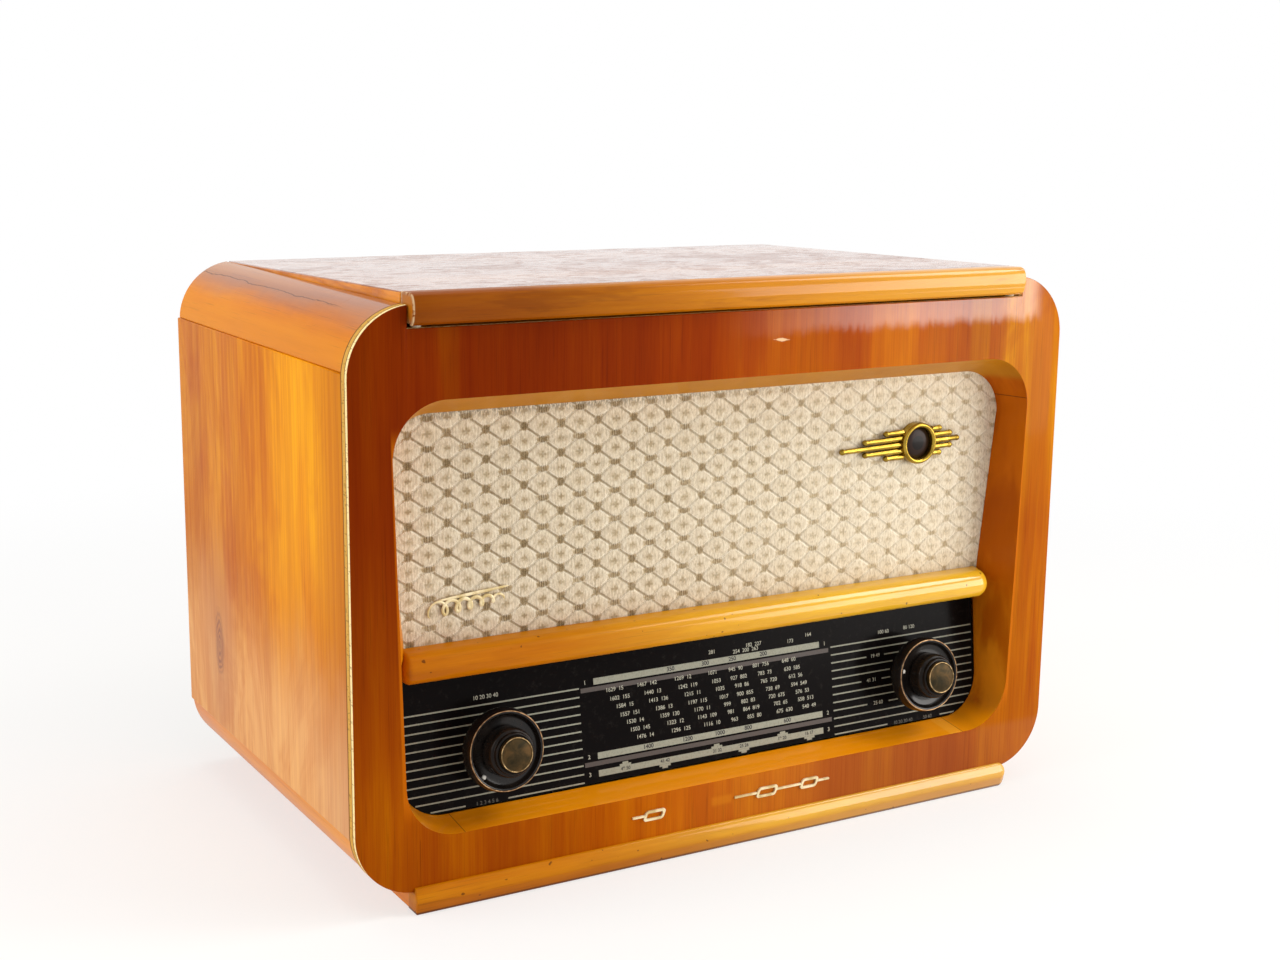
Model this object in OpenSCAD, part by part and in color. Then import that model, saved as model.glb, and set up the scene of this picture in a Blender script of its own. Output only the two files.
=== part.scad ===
// Table radio receiver with a record player under its hinged lid.
// X runs along the front, Y to the back, Z up. The origin is under the middle of the object.
// Inside in_place() the front face of the cabinet is the plane y = 0.

/* [Cabinet] */
// Width over the side panels
body_w = 494; // [480:1:510]
// Height of the shoulders above the table
shoulder_z = 342.5; // [338:0.5:346]
// Height of the cabinet's underside above the table
body_z = 12.5; // [10:0.5:15]
// Depth from the front face to the rear edge of the sides
body_d = 297; // [290:1:305]
// Radius of the four corners of the front
corner_r = 38.5; // [34:0.5:42]
// Thickness of the front board
board_t = 9.3; // [8:0.1:11]
// Thickness of a side panel
side_t = 10; // [8:0.5:12]
// How far the corner mouldings lie behind the side panels' faces
side_proud = 1.2; // [0.5:0.1:2]
// Height of the seam between side panel and lower moulding
low_seam_z = 46.8; // [44:0.2:50]
// Height of the seam between side panel and upper moulding
high_seam_z = 306.5; // [302:0.5:310]

/* [Front opening] */
// Half width of the opening's front edge at its top
edge_top_hw = 222; // [218:0.5:226]
// Half width of the opening's front edge at its foot
edge_foot_hw = 216.5; // [212:0.5:220]
// Lowest point of the opening's front edge
edge_foot_z = 42.6; // [40:0.2:46]
// Highest point of the opening's front edge
edge_top_z = 290.3; // [284:0.1:294]
// Depth of the cloth behind the front face
cloth_y = 24.3; // [20:0.1:28]
// Foot of the cross rail
rail_z = 129.5; // [126:0.5:133]
// Height of the cross rail
rail_h = 18; // [14:0.5:20]

/* [Lid] */
// Half width of the lid
lid_hw = 212; // [205:0.5:216]
// Thickness of the lid panel
lid_t = 11.5; // [9:0.5:14]
// Angle at which the closed lid stands proud at the front
lid_rise = 1.155; // [0:0.005:2]
// Overhang of the lid's front moulding beyond the front face
lid_reach = 5.7; // [4:0.1:8]
// Height of the lid's front moulding
lid_rim_h = 16.5; // [14:0.5:18]

/* [Dial and controls] */
// Lean of the dial glass from upright
dial_lean = 8; // [5:0.5:12]
// Depth of the glass plane at its foot
dial_y = 22.3; // [20:0.1:26]
// Height of the glass plane's foot
dial_z = 42; // [40:0.5:46]
// Distance of each pair of knobs from the middle
knob_x = 153; // [145:1:160]
// Height of the knobs up the glass
knob_v = 39.7; // [36:0.1:44]
// Radius of the outer knobs
knob_r = 24.5; // [22:0.5:27]
// Radius of the inner knobs
boss_r = 16; // [13:0.5:18]

/* [Record player] */
// Top face of the motor board
deck_z = 288; // [286:0.5:289]
// Middle of the platter across the cabinet
platter_x = -45; // [-50:1:-40]
// Middle of the platter behind the front face
platter_y = 160; // [156:1:164]
// Radius of the platter
platter_r = 112; // [106:1:114]
// Pickup arm pivot across the cabinet
arm_x = 130; // [126:1:134]
// Pickup arm pivot behind the front face
arm_y = 250; // [246:1:254]
// Length from the pivot to the stylus
arm_l = 205; // [200:1:208]

/* [Hidden] */
$fn = 64;

hw = body_w / 2;
hinge_y = 298.5;
hinge_z = 329.7;
knuckle_r = 2.6;
cap_w = 38.2;
front_reach = cap_w * cos(dial_lean) - knob_v * sin(dial_lean) - dial_y;
back_reach = hinge_y + knuckle_r;
origin_back = (back_reach - front_reach) / 2;
corner_x = hw - corner_r;
low_corner_z = body_z + corner_r;
high_corner_z = shoulder_z - corner_r;
moulding_r = corner_r - side_proud / 2;
moulding_x = hw - side_proud - moulding_r;
inner_edge_x = lid_hw + 0.8;
lid_sill_z = 329.5;
lid_joint_y = 11.2;
plinth_t = 12;
bottom_t = 10;
floor_z = body_z + bottom_t;
rail_y = 6;
baffle_t = 8;
baffle_y = cloth_y + 1;
inner_hw = hw - side_t;
deck_t = 8;
eye_x = 151.5;
eye_z = 237.5;
speaker_x = -40;
speaker_z = 210;
chassis_y = 78;
chassis_d = 186;
chassis_hw = 178;
chassis_top = 66.5;
gang_x = 60;
gang_z = 98;
gap = 0.06;
cover_y = 291;
cover_t = 3;
stay_x = 205;
stay_r = 60;
idler_r = 20;
pulley_r = 4;
rim_r = platter_r - 7;
idler_at = rim_r - idler_r - gap;
idler_x = platter_x - idler_at * cos(45);
idler_y = platter_y + idler_at * sin(45);
pulley_x = idler_x - (idler_r + pulley_r + gap) * cos(20);
pulley_y = idler_y - (idler_r + pulley_r + gap) * sin(20);
lever_x = -190;
lever_y = 66;
arm_z = 314;

// Points of an arc, counted round from angle a to angle b
function arc(x, z, r, a, b) = [for (i = [0:10]) [x + r * cos(a + (b - a) * i / 10), z + r * sin(a + (b - a) * i / 10)]];

// Opening outline: narrower at the foot than at the top, with round corners
function opening(top_hw, foot_hw, z0, z1, r) = concat(
    arc(foot_hw - r, z0 + r, r, -90, 0), arc(top_hw - r, z1 - r, r, 0, 90),
    arc(r - top_hw, z1 - r, r, 90, 180), arc(r - foot_hw, z0 + r, r, 180, 270));

front_edge = opening(edge_top_hw, edge_foot_hw, edge_foot_z, edge_top_z, 32);
inner_edge = opening(edge_top_hw - 4.5, edge_foot_hw - 5, edge_foot_z + 3.4, edge_top_z - 10.3, 28);
liner_edge = opening(edge_top_hw + 7, edge_foot_hw + 7, edge_foot_z - 7, edge_top_z + 7, 39);

module in_place() { translate([0, -origin_back, 0]) children(); }
module on_dial() { in_place() translate([0, dial_y, dial_z]) rotate([-dial_lean, 0, 0]) children(); }
module on_lid() { in_place() translate([0, hinge_y, hinge_z]) rotate([-lid_rise, 0, 0]) children(); }
module on_shaft(x) { on_dial() translate([x, 0, knob_v]) rotate([90, 0, 0]) children(); }
// An outline in X and Z, given depth from y0 to y1
module upright(y0, y1) { translate([0, y1, 0]) rotate([90, 0, 0]) linear_extrude(y1 - y0) children(); }
// An outline in Y and Z, given length from x0 to x1
module along(x0, x1) { translate([x0, 0, 0]) rotate([90, 0, 90]) linear_extrude(x1 - x0) children(); }
module block(x0, x1, y0, y1, z0, z1) { translate([x0, y0, z0]) cube([x1 - x0, y1 - y0, z1 - z0]); }
module rod_y(x, z, r, y0, y1) { translate([x, y0, z]) rotate([-90, 0, 0]) cylinder(r = r, h = y1 - y0); }
module rod_x(y, z, r, x0, x1) { translate([x0, y, z]) rotate([0, 90, 0]) cylinder(r = r, h = x1 - x0); }
module post(x, y, r, z0, z1) { translate([x, y, z0]) cylinder(r = r, h = z1 - z0); }

module body_outline() {
    translate([-hw, low_corner_z]) square([body_w, high_corner_z - low_corner_z]);
    translate([-corner_x, body_z]) square([2 * corner_x, shoulder_z - body_z]);
    for (x = [-corner_x, corner_x], z = [low_corner_z, high_corner_z]) translate([x, z]) circle(corner_r);
}

module front_board() {
    color("sienna") in_place() upright(0, board_t) difference() {
        body_outline();
        translate([-inner_edge_x, lid_sill_z]) square([2 * inner_edge_x, 40]);
        polygon(front_edge);
    }
}

module side_panel(side) {
    color("peru") in_place() mirror([side < 0 ? 1 : 0, 0, 0])
        block(inner_hw, hw, board_t, body_d, low_seam_z, high_seam_z);
}
module side_panel_left() { side_panel(-1); }
module side_panel_right() { side_panel(1); }

// A solid bar with one round edge: a quarter disc trimmed to its seam and its inner face
module corner_moulding(side, centre_z, top) {
    color("goldenrod") in_place() mirror([side < 0 ? 1 : 0, 0, 0]) upright(board_t, body_d) intersection() {
        translate([moulding_x, centre_z]) circle(moulding_r);
        if (top) translate([inner_edge_x, high_seam_z]) square([60, 60]);
        else translate([moulding_x, 0]) square([60, low_seam_z]);
    }
}
module corner_moulding_top_left() { corner_moulding(-1, shoulder_z - moulding_r, true); }
module corner_moulding_top_right() { corner_moulding(1, shoulder_z - moulding_r, true); }
module corner_moulding_bottom_left() { corner_moulding(-1, body_z + moulding_r, false); }
module corner_moulding_bottom_right() { corner_moulding(1, body_z + moulding_r, false); }

module bottom_board() {
    color("burlywood") in_place() difference() {
        block(-moulding_x, moulding_x, board_t, cover_y, body_z, floor_z);
        for (x = [-110:22:110]) post(x, 180, 4, body_z - 1, floor_z + 1);
    }
}

module plinth_frame() {
    color("tan") in_place() {
        for (side = [-1, 1])
            block(side * (lid_hw - plinth_t / 2) - plinth_t / 2, side * (lid_hw - plinth_t / 2) + plinth_t / 2,
                board_t, 290, 0, body_z);
        block(plinth_t - lid_hw, lid_hw - plinth_t, 290 - plinth_t, 290, 0, body_z);
    }
}

// Bullnose bar across the foot, rebated under the front board, with a rounded right end
module base_moulding() {
    color("goldenrod") in_place() difference() {
        union() {
            along(-213, 213) base_section();
            translate([213, board_t, 0]) intersection() {
                cylinder(r = board_t + 4.5, h = 30);
                translate([0, -board_t, 0]) block(0, 4.6, -4.5, board_t, 0, 15.6);
            }
        }
        block(-300, 300, 0, 30, body_z, 30);
    }
}
module base_section() {
    translate([0, 0]) square([board_t, 15.6]);
    translate([-1.2, 0]) square([2, 15.6]);
    translate([-1.2, 12.2]) circle(3.3);
    translate([-4.5, 0]) square([4, 12.2]);
}

module rear_frame() {
    color("burlywood") in_place() {
        block(-inner_edge_x, inner_edge_x, 284, 295.6, 306, 328.4);
        for (side = [-1, 1]) block(side * 231 - 6, side * 231 + 6, 279, cover_y, 50, deck_z - deck_t);
    }
}

// Ring with a tapered mouth: cut off at the cloth above the rail and at the glass below it
module opening_liner() {
    color("orange") in_place() difference() {
        upright(board_t, 38) polygon(liner_edge);
        hull() {
            upright(0, 0.01) polygon(front_edge);
            upright(cloth_y, cloth_y + 0.01) polygon(inner_edge);
        }
        upright(cloth_y, 40) polygon(inner_edge);
        translate([0, dial_y, dial_z]) rotate([-dial_lean, 0, 0]) block(-300, 300, 0, 60, -30, 97);
        block(-300, 300, cloth_y, 60, rail_z + 8.5, 400);
        for (x = [-moulding_x - 60, moulding_x]) block(x, x + 60, 0, 60, 0, low_seam_z);
    }
}

module cross_rail() {
    color("goldenrod") in_place() along(-213.5, 213.5) {
        translate([rail_y + rail_h / 2, rail_z]) square([cloth_y - rail_y - rail_h / 2, rail_h]);
        translate([rail_y + rail_h / 2, rail_z + rail_h / 2]) circle(rail_h / 2);
    }
}

module baffle_board() {
    color("burlywood") in_place() difference() {
        block(-228, 228, baffle_y, baffle_y + baffle_t, rail_z + 9, deck_z - deck_t);
        rod_y(speaker_x, speaker_z, 58, 0, 60);
        rod_y(eye_x, eye_z, 14.4, 0, 60);
    }
}

module speaker_cloth() {
    color("wheat") in_place() difference() {
        block(-226, 226, cloth_y, baffle_y, rail_z + 9, deck_z - deck_t);
        rod_y(eye_x, eye_z, 12.5, 0, 60);
    }
}

// Ring round the tuning eye with five plain rays to each side
module magic_eye_bezel() {
    left_l = [27, 43.5, 61.5, 43.5, 27];
    right_l = [20.5, 29, 35, 29, 20.5];
    color("gold") in_place() difference() {
        union() {
            rod_y(eye_x, eye_z, 14, 18, cloth_y);
            for (i = [0:4]) rod_x(22.4, eye_z + (i - 2) * 4, 1.8, eye_x - left_l[i], eye_x + right_l[i]);
        }
        rod_y(eye_x, eye_z, 10.5, 0, 40);
    }
}

module magic_eye_tube() {
    color("darkslategray") in_place() {
        rod_y(eye_x, eye_z, 10.2, cloth_y - 3, 36);
        rod_y(eye_x, eye_z, 14, 36, 70);
    }
}

module gilt_trims() {
    color("gold") in_place() {
        block(-72, 73, -1.5, 0, 28, 31.5);
        upright(cloth_y - 1, cloth_y) polygon([[-196, 166], [-180, 168.6], [-142, 167], [-180, 165.4]]);
    }
}

module dial_glass() {
    color("black") on_dial() difference() {
        upright(0, 3) {
            translate([-211, 30]) square([422, 57]);
            translate([-185, 4.8]) square([370, 40]);
            for (x = [-185, 185]) translate([x, 30.8]) circle(26);
        }
        for (x = [-knob_x, knob_x]) rod_y(x, knob_v, 8, -1, 4);
    }
}

module dial_backplate() {
    color("dimgray") on_dial() difference() {
        union() {
            block(-200, 200, 6, 8, 5, 86);
            for (x = [-98, 98]) block(x - 3, x + 3, 6, 12, 86, 94);
            rod_x(9, 90, 1.5, -98, 98);
        }
        for (x = [-knob_x, knob_x]) rod_y(x, knob_v, 6, 5, 9);
    }
    color("dimgray") in_place() for (x = [-120, 120]) block(x - 10, x + 10, 30, 33, floor_z, 60);
}

module dial_lamps() {
    color("lightyellow") on_dial() for (x = [-60, 60]) {
        rod_y(x, 72, 5, 8, 18);
        rod_y(x, 72, 6.5, 18, 30);
    }
}

module dial_pointer() {
    color("red") on_dial() difference() {
        union() {
            block(-0.6, 0.6, 3.6, 4.8, 8, 87);
            block(-6, 6, 3.6, 12, 87, 93.5);
        }
        rod_x(9, 90, 1.5 + gap, -10, 10);
    }
}

// Flanged outer knob on a hollow shaft
module outer_knob(x) {
    color("black") on_shaft(x) rotate_extrude() polygon([[3 + gap, -14], [4.8, -14], [4.8, 12], [9, 12],
        [10, 14], [22.5, 14], [knob_r, 16], [knob_r, 23.5], [knob_r - 1.6, 25.5], [3 + gap, 25.5]]);
}
// Stepped inner knob with a metal cap, on a solid shaft
module inner_knob(x) {
    color("saddlebrown") on_shaft(x) rotate_extrude() polygon([[0, -24], [3, -24], [3, 26], [boss_r, 26],
        [boss_r, 32.6], [boss_r - 1.4, 34], [11, 34], [11, 37.2], [10, cap_w], [0, cap_w]]);
}
module tone_knob() { outer_knob(-knob_x); }
module volume_knob() { inner_knob(-knob_x); }
module band_knob() { outer_knob(knob_x); }
module tuning_knob() { inner_knob(knob_x); }

// Round control body bored for the hollow shaft in front and the solid shaft behind
module control_body(x) {
    color("silver") on_shaft(x) difference() {
        translate([0, 0, -26]) cylinder(r = 15, h = 18);
        translate([0, 0, -14.5]) cylinder(r = 4.8 + gap, h = 20);
        translate([0, 0, -24.5]) cylinder(r = 3 + gap, h = 20);
    }
}
module volume_control() { control_body(-knob_x); }
module band_switch() { control_body(knob_x); }

// Frame with its fixed vanes on one side of the shaft
module tuning_capacitor() {
    color("silver") in_place() difference() {
        union() {
            block(gang_x - 28, gang_x + 28, 84, 152, chassis_top, chassis_top + 3);
            for (y = [84, 149]) block(gang_x - 28, gang_x + 28, y, y + 3, chassis_top + 3, gang_z + 26);
            block(gang_x + 24, gang_x + 27, 87, 149, chassis_top + 3, gang_z + 20);
            for (i = [0:7]) block(gang_x + 6, gang_x + 25, 92 + i * 7, 93.5 + i * 7, gang_z - 20, gang_z + 20);
        }
        rod_y(gang_x, gang_z, 3 + gap, 60, 160);
    }
}

module capacitor_rotor() {
    color("gainsboro") in_place() {
        rod_y(gang_x, gang_z, 3, 60, 155);
        for (i = [0:6]) upright(95 + i * 7, 96.5 + i * 7) intersection() {
            translate([gang_x, gang_z]) circle(20);
            translate([gang_x - 20, gang_z]) square([40, 20]);
        }
    }
}

module drive_drum() {
    color("brown") in_place() translate([gang_x, 72, gang_z]) rotate([90, 0, 0]) rotate_extrude()
        polygon([[3, 0], [34, 0], [34, 2], [31, 4], [34, 6], [34, 8], [3, 8]]);
}

module chassis() {
    color("lightsteelblue") in_place() difference() {
        block(-chassis_hw, chassis_hw, chassis_y, chassis_y + chassis_d, floor_z, chassis_top);
        block(2 - chassis_hw, chassis_hw - 2, chassis_y + 2, chassis_y + chassis_d - 2, floor_z - 1, chassis_top - 2);
    }
}

module mains_transformer() {
    color("gray") in_place() {
        block(95, 165, 190, 250, chassis_top, chassis_top + 58);
        block(105, 155, 182, 190, chassis_top + 10, chassis_top + 48);
        block(105, 155, 250, 258, chassis_top + 10, chassis_top + 48);
    }
}

module output_transformer() {
    color("gray") in_place() {
        block(-165, -120, 100, 132, chassis_top, chassis_top + 36);
        block(-157, -128, 94, 138, chassis_top + 6, chassis_top + 30);
    }
}

valve_spots = [[-150, 170], [-100, 235], [-45, 190], [10, 235], [60, 190]];
module valve_sockets() {
    color("tan") in_place() for (p = valve_spots) post(p[0], p[1], 14, chassis_top, chassis_top + 8);
}
// Glass envelope with a domed top
module valves() {
    color("lightgray") in_place() for (p = valve_spots) translate([p[0], p[1], chassis_top + 8])
        rotate_extrude() union() {
            square([11, 50]);
            intersection() {
                translate([0, 50]) circle(11);
                translate([0, 49]) square([12, 13]);
            }
        }
}

module screened_cans() {
    color("silver") in_place() {
        for (p = [[-95, 150], [-20, 235]]) block(p[0] - 14, p[0] + 14, p[1] - 14, p[1] + 14, chassis_top, chassis_top + 62);
        post(150, 130, 16, chassis_top, chassis_top + 68);
    }
}

// Pressed basket with its magnet, turned about the speaker's axis
module loudspeaker_frame() {
    color("darkslategray") in_place() translate([speaker_x, baffle_y + baffle_t, speaker_z]) rotate([-90, 0, 0])
        rotate_extrude() polygon([[58, 0], [66, 0], [66, 3], [61, 3], [34, 42], [34, 44], [30, 44], [30, 72],
            [0, 72], [0, 42], [32, 42], [58, 3]]);
}
module loudspeaker_cone() {
    color("dimgray") in_place() translate([speaker_x, baffle_y + baffle_t, speaker_z]) rotate([-90, 0, 0])
        rotate_extrude() polygon([[57, 1], [57, 2.4], [52, 2.4], [15, 34], [0, 34], [0, 32], [14, 32], [51, 1]]);
}

// Insulated strip with four 4 mm sockets, and the plug for the mains voltage
module socket_panel() {
    color("saddlebrown") in_place() {
        difference() {
            block(-150, -60, cover_y + cover_t, cover_y + cover_t + 6, 40, 62);
            for (i = [0:3]) rod_y(-139 + i * 22, 51, 2, 280, 310);
        }
        rod_y(140, 52, 11, 288, 295);
        for (x = [136, 144]) rod_y(x, 52, 2, 295, 298);
    }
}

module rear_cover() {
    color("brown") in_place() difference() {
        union() {
            block(0.3 - inner_hw, inner_hw - 0.3, cover_y, cover_y + cover_t, low_seam_z + 0.2, 305.7);
            block(0.3 - moulding_x, moulding_x - 0.3, cover_y, cover_y + cover_t, 14, low_seam_z + 1);
        }
        for (i = [-8:8], j = [0:3]) rod_y(i * 22, 120 + j * 40, 5, 280, 300);
        rod_y(140, 52, 12, 280, 300);
        rod_y(60, 40, 6, 280, 300);
    }
}

// Screws into the battens and the bottom board
module rear_cover_screws() {
    color("silver") in_place() {
        for (x = [-231, 231], z = [70, 170, 270]) cover_screw(x, z);
        for (x = [-190, 0, 190]) cover_screw(x, body_z + 6);
    }
}
module cover_screw(x, z) { rod_y(x, z, 4, cover_y + cover_t, cover_y + cover_t + 2); }

module lid_panel() {
    color("saddlebrown") on_lid() block(-lid_hw, lid_hw, lid_joint_y - hinge_y, -3, 1.2, 1.2 + lid_t);
}

// Front grip of the lid: a bar with a full round nose
module lid_moulding() {
    rim_top = 1.2 + lid_t;
    nose_r = lid_rim_h / 2;
    nose_y = -hinge_y - lid_reach + nose_r;
    color("goldenrod") on_lid() along(-lid_hw, lid_hw) {
        translate([nose_y, rim_top - lid_rim_h]) square([lid_joint_y - hinge_y - nose_y, lid_rim_h]);
        translate([nose_y, rim_top - nose_r]) circle(nose_r);
    }
}

hinge_spots = [-130, 130];
module hinge_leaves_fixed() {
    color("darkgoldenrod") in_place() for (x = hinge_spots) {
        difference() {
            union() {
                block(x - 30, x + 30, 284, 295.6, 328.4, 329.6);
                for (s = [-30, 12]) {
                    rod_x(hinge_y, hinge_z, knuckle_r, x + s, x + s + 18);
                    block(x + s, x + s + 18, 295.5, hinge_y, 328.4, 329.6);
                }
            }
            rod_x(hinge_y, hinge_z, 1.4 + gap, x - 31, x + 31);
        }
        rod_x(hinge_y, hinge_z, 1.4, x - 29.5, x + 29.5);
    }
}
module hinge_leaves_lid() {
    color("darkgoldenrod") on_lid() for (x = hinge_spots) difference() {
        union() {
            block(x - 30, x + 30, -16, -3, 0.2, 1.2);
            rod_x(0, 0, knuckle_r, x - 11.7, x + 11.7);
            block(x - 11.7, x + 11.7, -3.1, 0, 0.2, 1.2);
        }
        rod_x(0, 0, 1.4 + gap, x - 13, x + 13);
    }
}

// Arc that slides down beside the platter as the lid closes, centred on the hinge
module lid_quadrant() {
    color("goldenrod") on_lid() along(stay_x - 1.5, stay_x + 1.5) {
        intersection() {
            difference() {
                circle(stay_r + 3);
                circle(stay_r - 3);
            }
            polygon([[0, 0], [-80, 0], [-80, -80], [-80 / tan(80), -80]]);
        }
        translate([-stay_r - 12, 0]) square([24, 1.2]);
    }
}

module lid_buffers() {
    color("ivory") in_place() for (x = [-206, 206]) post(x, 4.5, 3, lid_sill_z, 331.6);
}

module motor_board() {
    color("peru") in_place() difference() {
        block(0.3 - inner_hw, inner_hw - 0.3, 27, 290, deck_z - deck_t, deck_z);
        post(pulley_x, pulley_y, 7, 270, 300);
        block(stay_x - 3, stay_x + 3, 246, 278, 270, 300);
        post(platter_x, platter_y, 3.6, 270, 300);
        post(arm_x, arm_y, 5 + gap, 270, 300);
    }
}

// Idler pin, lever stud, arm rest with its guard pin, and the two cheeks that guide the lid's arc
module board_fittings() {
    color("silver") in_place() {
        post(idler_x, idler_y, 2, deck_z, 299);
        post(lever_x, lever_y, 3, deck_z, 293);
        post(arm_x, 82, 4, deck_z, 306);
        block(arm_x - 7, arm_x + 4.9, 78, 86, 306, 309.6);
        post(arm_x + 7, 82, 1.8, deck_z, 318);
        for (x = [stay_x - 5.5, stay_x + 2]) block(x, x + 3.5, 230, 246, deck_z, 322);
    }
}

module turntable_motor() {
    color("dimgray") in_place() difference() {
        union() {
            post(pulley_x, pulley_y, 32, 236, 276);
            for (a = [0, 120, 240]) post(pulley_x + 26 * cos(a), pulley_y + 26 * sin(a), 4, 276, deck_z - deck_t);
        }
        post(pulley_x, pulley_y, 2 + gap, 260, 280);
    }
}

module motor_pulley() {
    color("gold") in_place() {
        post(pulley_x, pulley_y, 2, 262, 290);
        post(pulley_x, pulley_y, pulley_r, 290, 298);
    }
}

module idler_wheel() {
    color("dimgray") in_place() difference() {
        union() {
            post(idler_x, idler_y, idler_r, 292, 297);
            post(idler_x, idler_y, 5, 289, 298);
        }
        post(idler_x, idler_y, 2 + gap, 280, 300);
    }
}

// Pressed platter with a turned-down rim and a bored hub
module platter() {
    color("silver") in_place() translate([platter_x, platter_y, 0]) rotate_extrude() polygon([
        [3.6 + gap, 288.6], [12, 288.6], [12, 299.5], [rim_r, 299.5], [rim_r, 290], [platter_r - 1, 290],
        [platter_r, 291], [platter_r, 302], [platter_r - 1, 303], [3.6 + gap, 303]]);
}
module platter_mat() {
    color("darkslategray") in_place() difference() {
        post(platter_x, platter_y, platter_r - 3, 303, 305);
        post(platter_x, platter_y, 5, 300, 310);
    }
}
// The groove at the mat marks off the free end that takes a record
module turntable_spindle() {
    color("silver") in_place() {
        post(platter_x, platter_y, 3.6, 276, 304.7);
        post(platter_x, platter_y, 3.2, 304.7, 305.3);
        post(platter_x, platter_y, 3.6, 305.3, 314);
        post(platter_x, platter_y, 9, 270, 276);
        post(platter_x, platter_y, 6, 276, deck_z - deck_t);
    }
}

module arm_base() {
    color("dimgray") in_place() difference() {
        union() {
            post(arm_x, arm_y, 18, deck_z, 291);
            post(arm_x, arm_y, 9, 291, 306);
        }
        post(arm_x, arm_y, 5 + gap, 280, 310);
    }
}

// Turning post with two cheeks and the cross pin that the arm tilts on
module arm_turret() {
    color("silver") in_place() {
        post(arm_x, arm_y, 5, 276, 306.3);
        post(arm_x, arm_y, 11, 306.3, 308.3);
        for (x = [-9, 6]) block(arm_x + x, arm_x + x + 3, arm_y - 6, arm_y + 6, 308.3, 320);
        rod_x(arm_y, arm_z, 1.5, arm_x - 6, arm_x + 6);
    }
}

module tonearm() {
    tip_y = arm_y - arm_l;
    color("ivory") in_place() difference() {
        union() {
            rod_y(arm_x, arm_z, 4, tip_y + 20, arm_y + 16);
            rod_x(arm_y, arm_z, 4.5, arm_x - 5.5, arm_x + 5.5);
            block(arm_x - 8, arm_x + 8, tip_y - 4, tip_y + 30, 309, 319);
            block(arm_x - 4, arm_x + 4, tip_y - 2, tip_y + 8, 307, 309);
            post(arm_x, tip_y + 2, 0.5, 306, 307);
            rod_y(arm_x, arm_z, 7, arm_y + 14, arm_y + 26);
        }
        rod_x(arm_y, arm_z, 1.5 + gap, arm_x - 8, arm_x + 8);
    }
}

module speed_lever() {
    color("silver") in_place() difference() {
        union() {
            post(lever_x, lever_y, 8, deck_z + 0.4, deck_z + 3.4);
            block(lever_x, lever_x + 34, lever_y - 3, lever_y + 3, deck_z + 0.4, deck_z + 3.4);
            post(lever_x + 34, lever_y, 5, deck_z + 0.4, deck_z + 12);
        }
        post(lever_x, lever_y, 3 + gap, deck_z - 1, deck_z + 5);
    }
}

front_board();
side_panel_left();
side_panel_right();
corner_moulding_top_left();
corner_moulding_top_right();
corner_moulding_bottom_left();
corner_moulding_bottom_right();
bottom_board();
plinth_frame();
base_moulding();
rear_frame();
opening_liner();
cross_rail();
baffle_board();
speaker_cloth();
magic_eye_bezel();
magic_eye_tube();
gilt_trims();
dial_glass();
dial_backplate();
dial_lamps();
dial_pointer();
tone_knob();
volume_knob();
band_knob();
tuning_knob();
volume_control();
band_switch();
tuning_capacitor();
capacitor_rotor();
drive_drum();
chassis();
mains_transformer();
output_transformer();
valves();
valve_sockets();
screened_cans();
loudspeaker_frame();
loudspeaker_cone();
socket_panel();
rear_cover();
rear_cover_screws();
lid_panel();
lid_moulding();
hinge_leaves_fixed();
hinge_leaves_lid();
lid_quadrant();
lid_buffers();
motor_board();
board_fittings();
turntable_motor();
motor_pulley();
idler_wheel();
platter();
platter_mat();
turntable_spindle();
arm_base();
arm_turret();
tonearm();
speed_lever();
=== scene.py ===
# %% [markdown]
# A valve table radio in veneered wood, woven cloth, black dial glass and dark bakelite.
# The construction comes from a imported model, so every piece has a place before it is drawn.
# This lesson adds the looks: curved surfaces worked out with numpy, and finishes worked out with
# shader nodes. Every piece is made in metres, in the model's own frame.

# %% Load the model
import math
from functools import partialmethod

import bmesh
import bpy
import numpy as np
from mathutils import Matrix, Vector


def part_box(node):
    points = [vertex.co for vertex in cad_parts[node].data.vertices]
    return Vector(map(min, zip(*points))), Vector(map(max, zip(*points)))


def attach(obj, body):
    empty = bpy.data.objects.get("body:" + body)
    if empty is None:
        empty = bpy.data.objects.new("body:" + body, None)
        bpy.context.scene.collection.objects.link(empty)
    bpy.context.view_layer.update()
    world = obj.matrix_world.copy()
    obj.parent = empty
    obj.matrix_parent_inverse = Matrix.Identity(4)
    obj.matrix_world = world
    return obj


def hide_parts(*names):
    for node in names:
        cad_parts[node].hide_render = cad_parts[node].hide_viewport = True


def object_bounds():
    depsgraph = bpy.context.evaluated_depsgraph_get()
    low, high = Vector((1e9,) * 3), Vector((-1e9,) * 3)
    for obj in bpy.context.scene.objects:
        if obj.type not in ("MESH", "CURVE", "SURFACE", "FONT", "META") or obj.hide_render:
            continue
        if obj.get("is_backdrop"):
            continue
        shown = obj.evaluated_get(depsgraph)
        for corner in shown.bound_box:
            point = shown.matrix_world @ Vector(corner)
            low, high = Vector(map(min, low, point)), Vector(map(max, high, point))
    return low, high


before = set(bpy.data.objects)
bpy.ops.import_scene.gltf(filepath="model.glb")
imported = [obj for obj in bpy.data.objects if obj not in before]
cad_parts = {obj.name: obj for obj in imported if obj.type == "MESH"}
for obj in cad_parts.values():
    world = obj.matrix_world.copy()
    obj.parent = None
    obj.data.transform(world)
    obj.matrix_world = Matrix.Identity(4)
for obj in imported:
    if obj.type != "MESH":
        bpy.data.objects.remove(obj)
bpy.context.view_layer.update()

# %% [markdown]
# The case is easiest to describe in millimetres behind its own front face, so one function turns
# such points into the model's metres. The main sizes are read from the boxes of the model's nodes.

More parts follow.
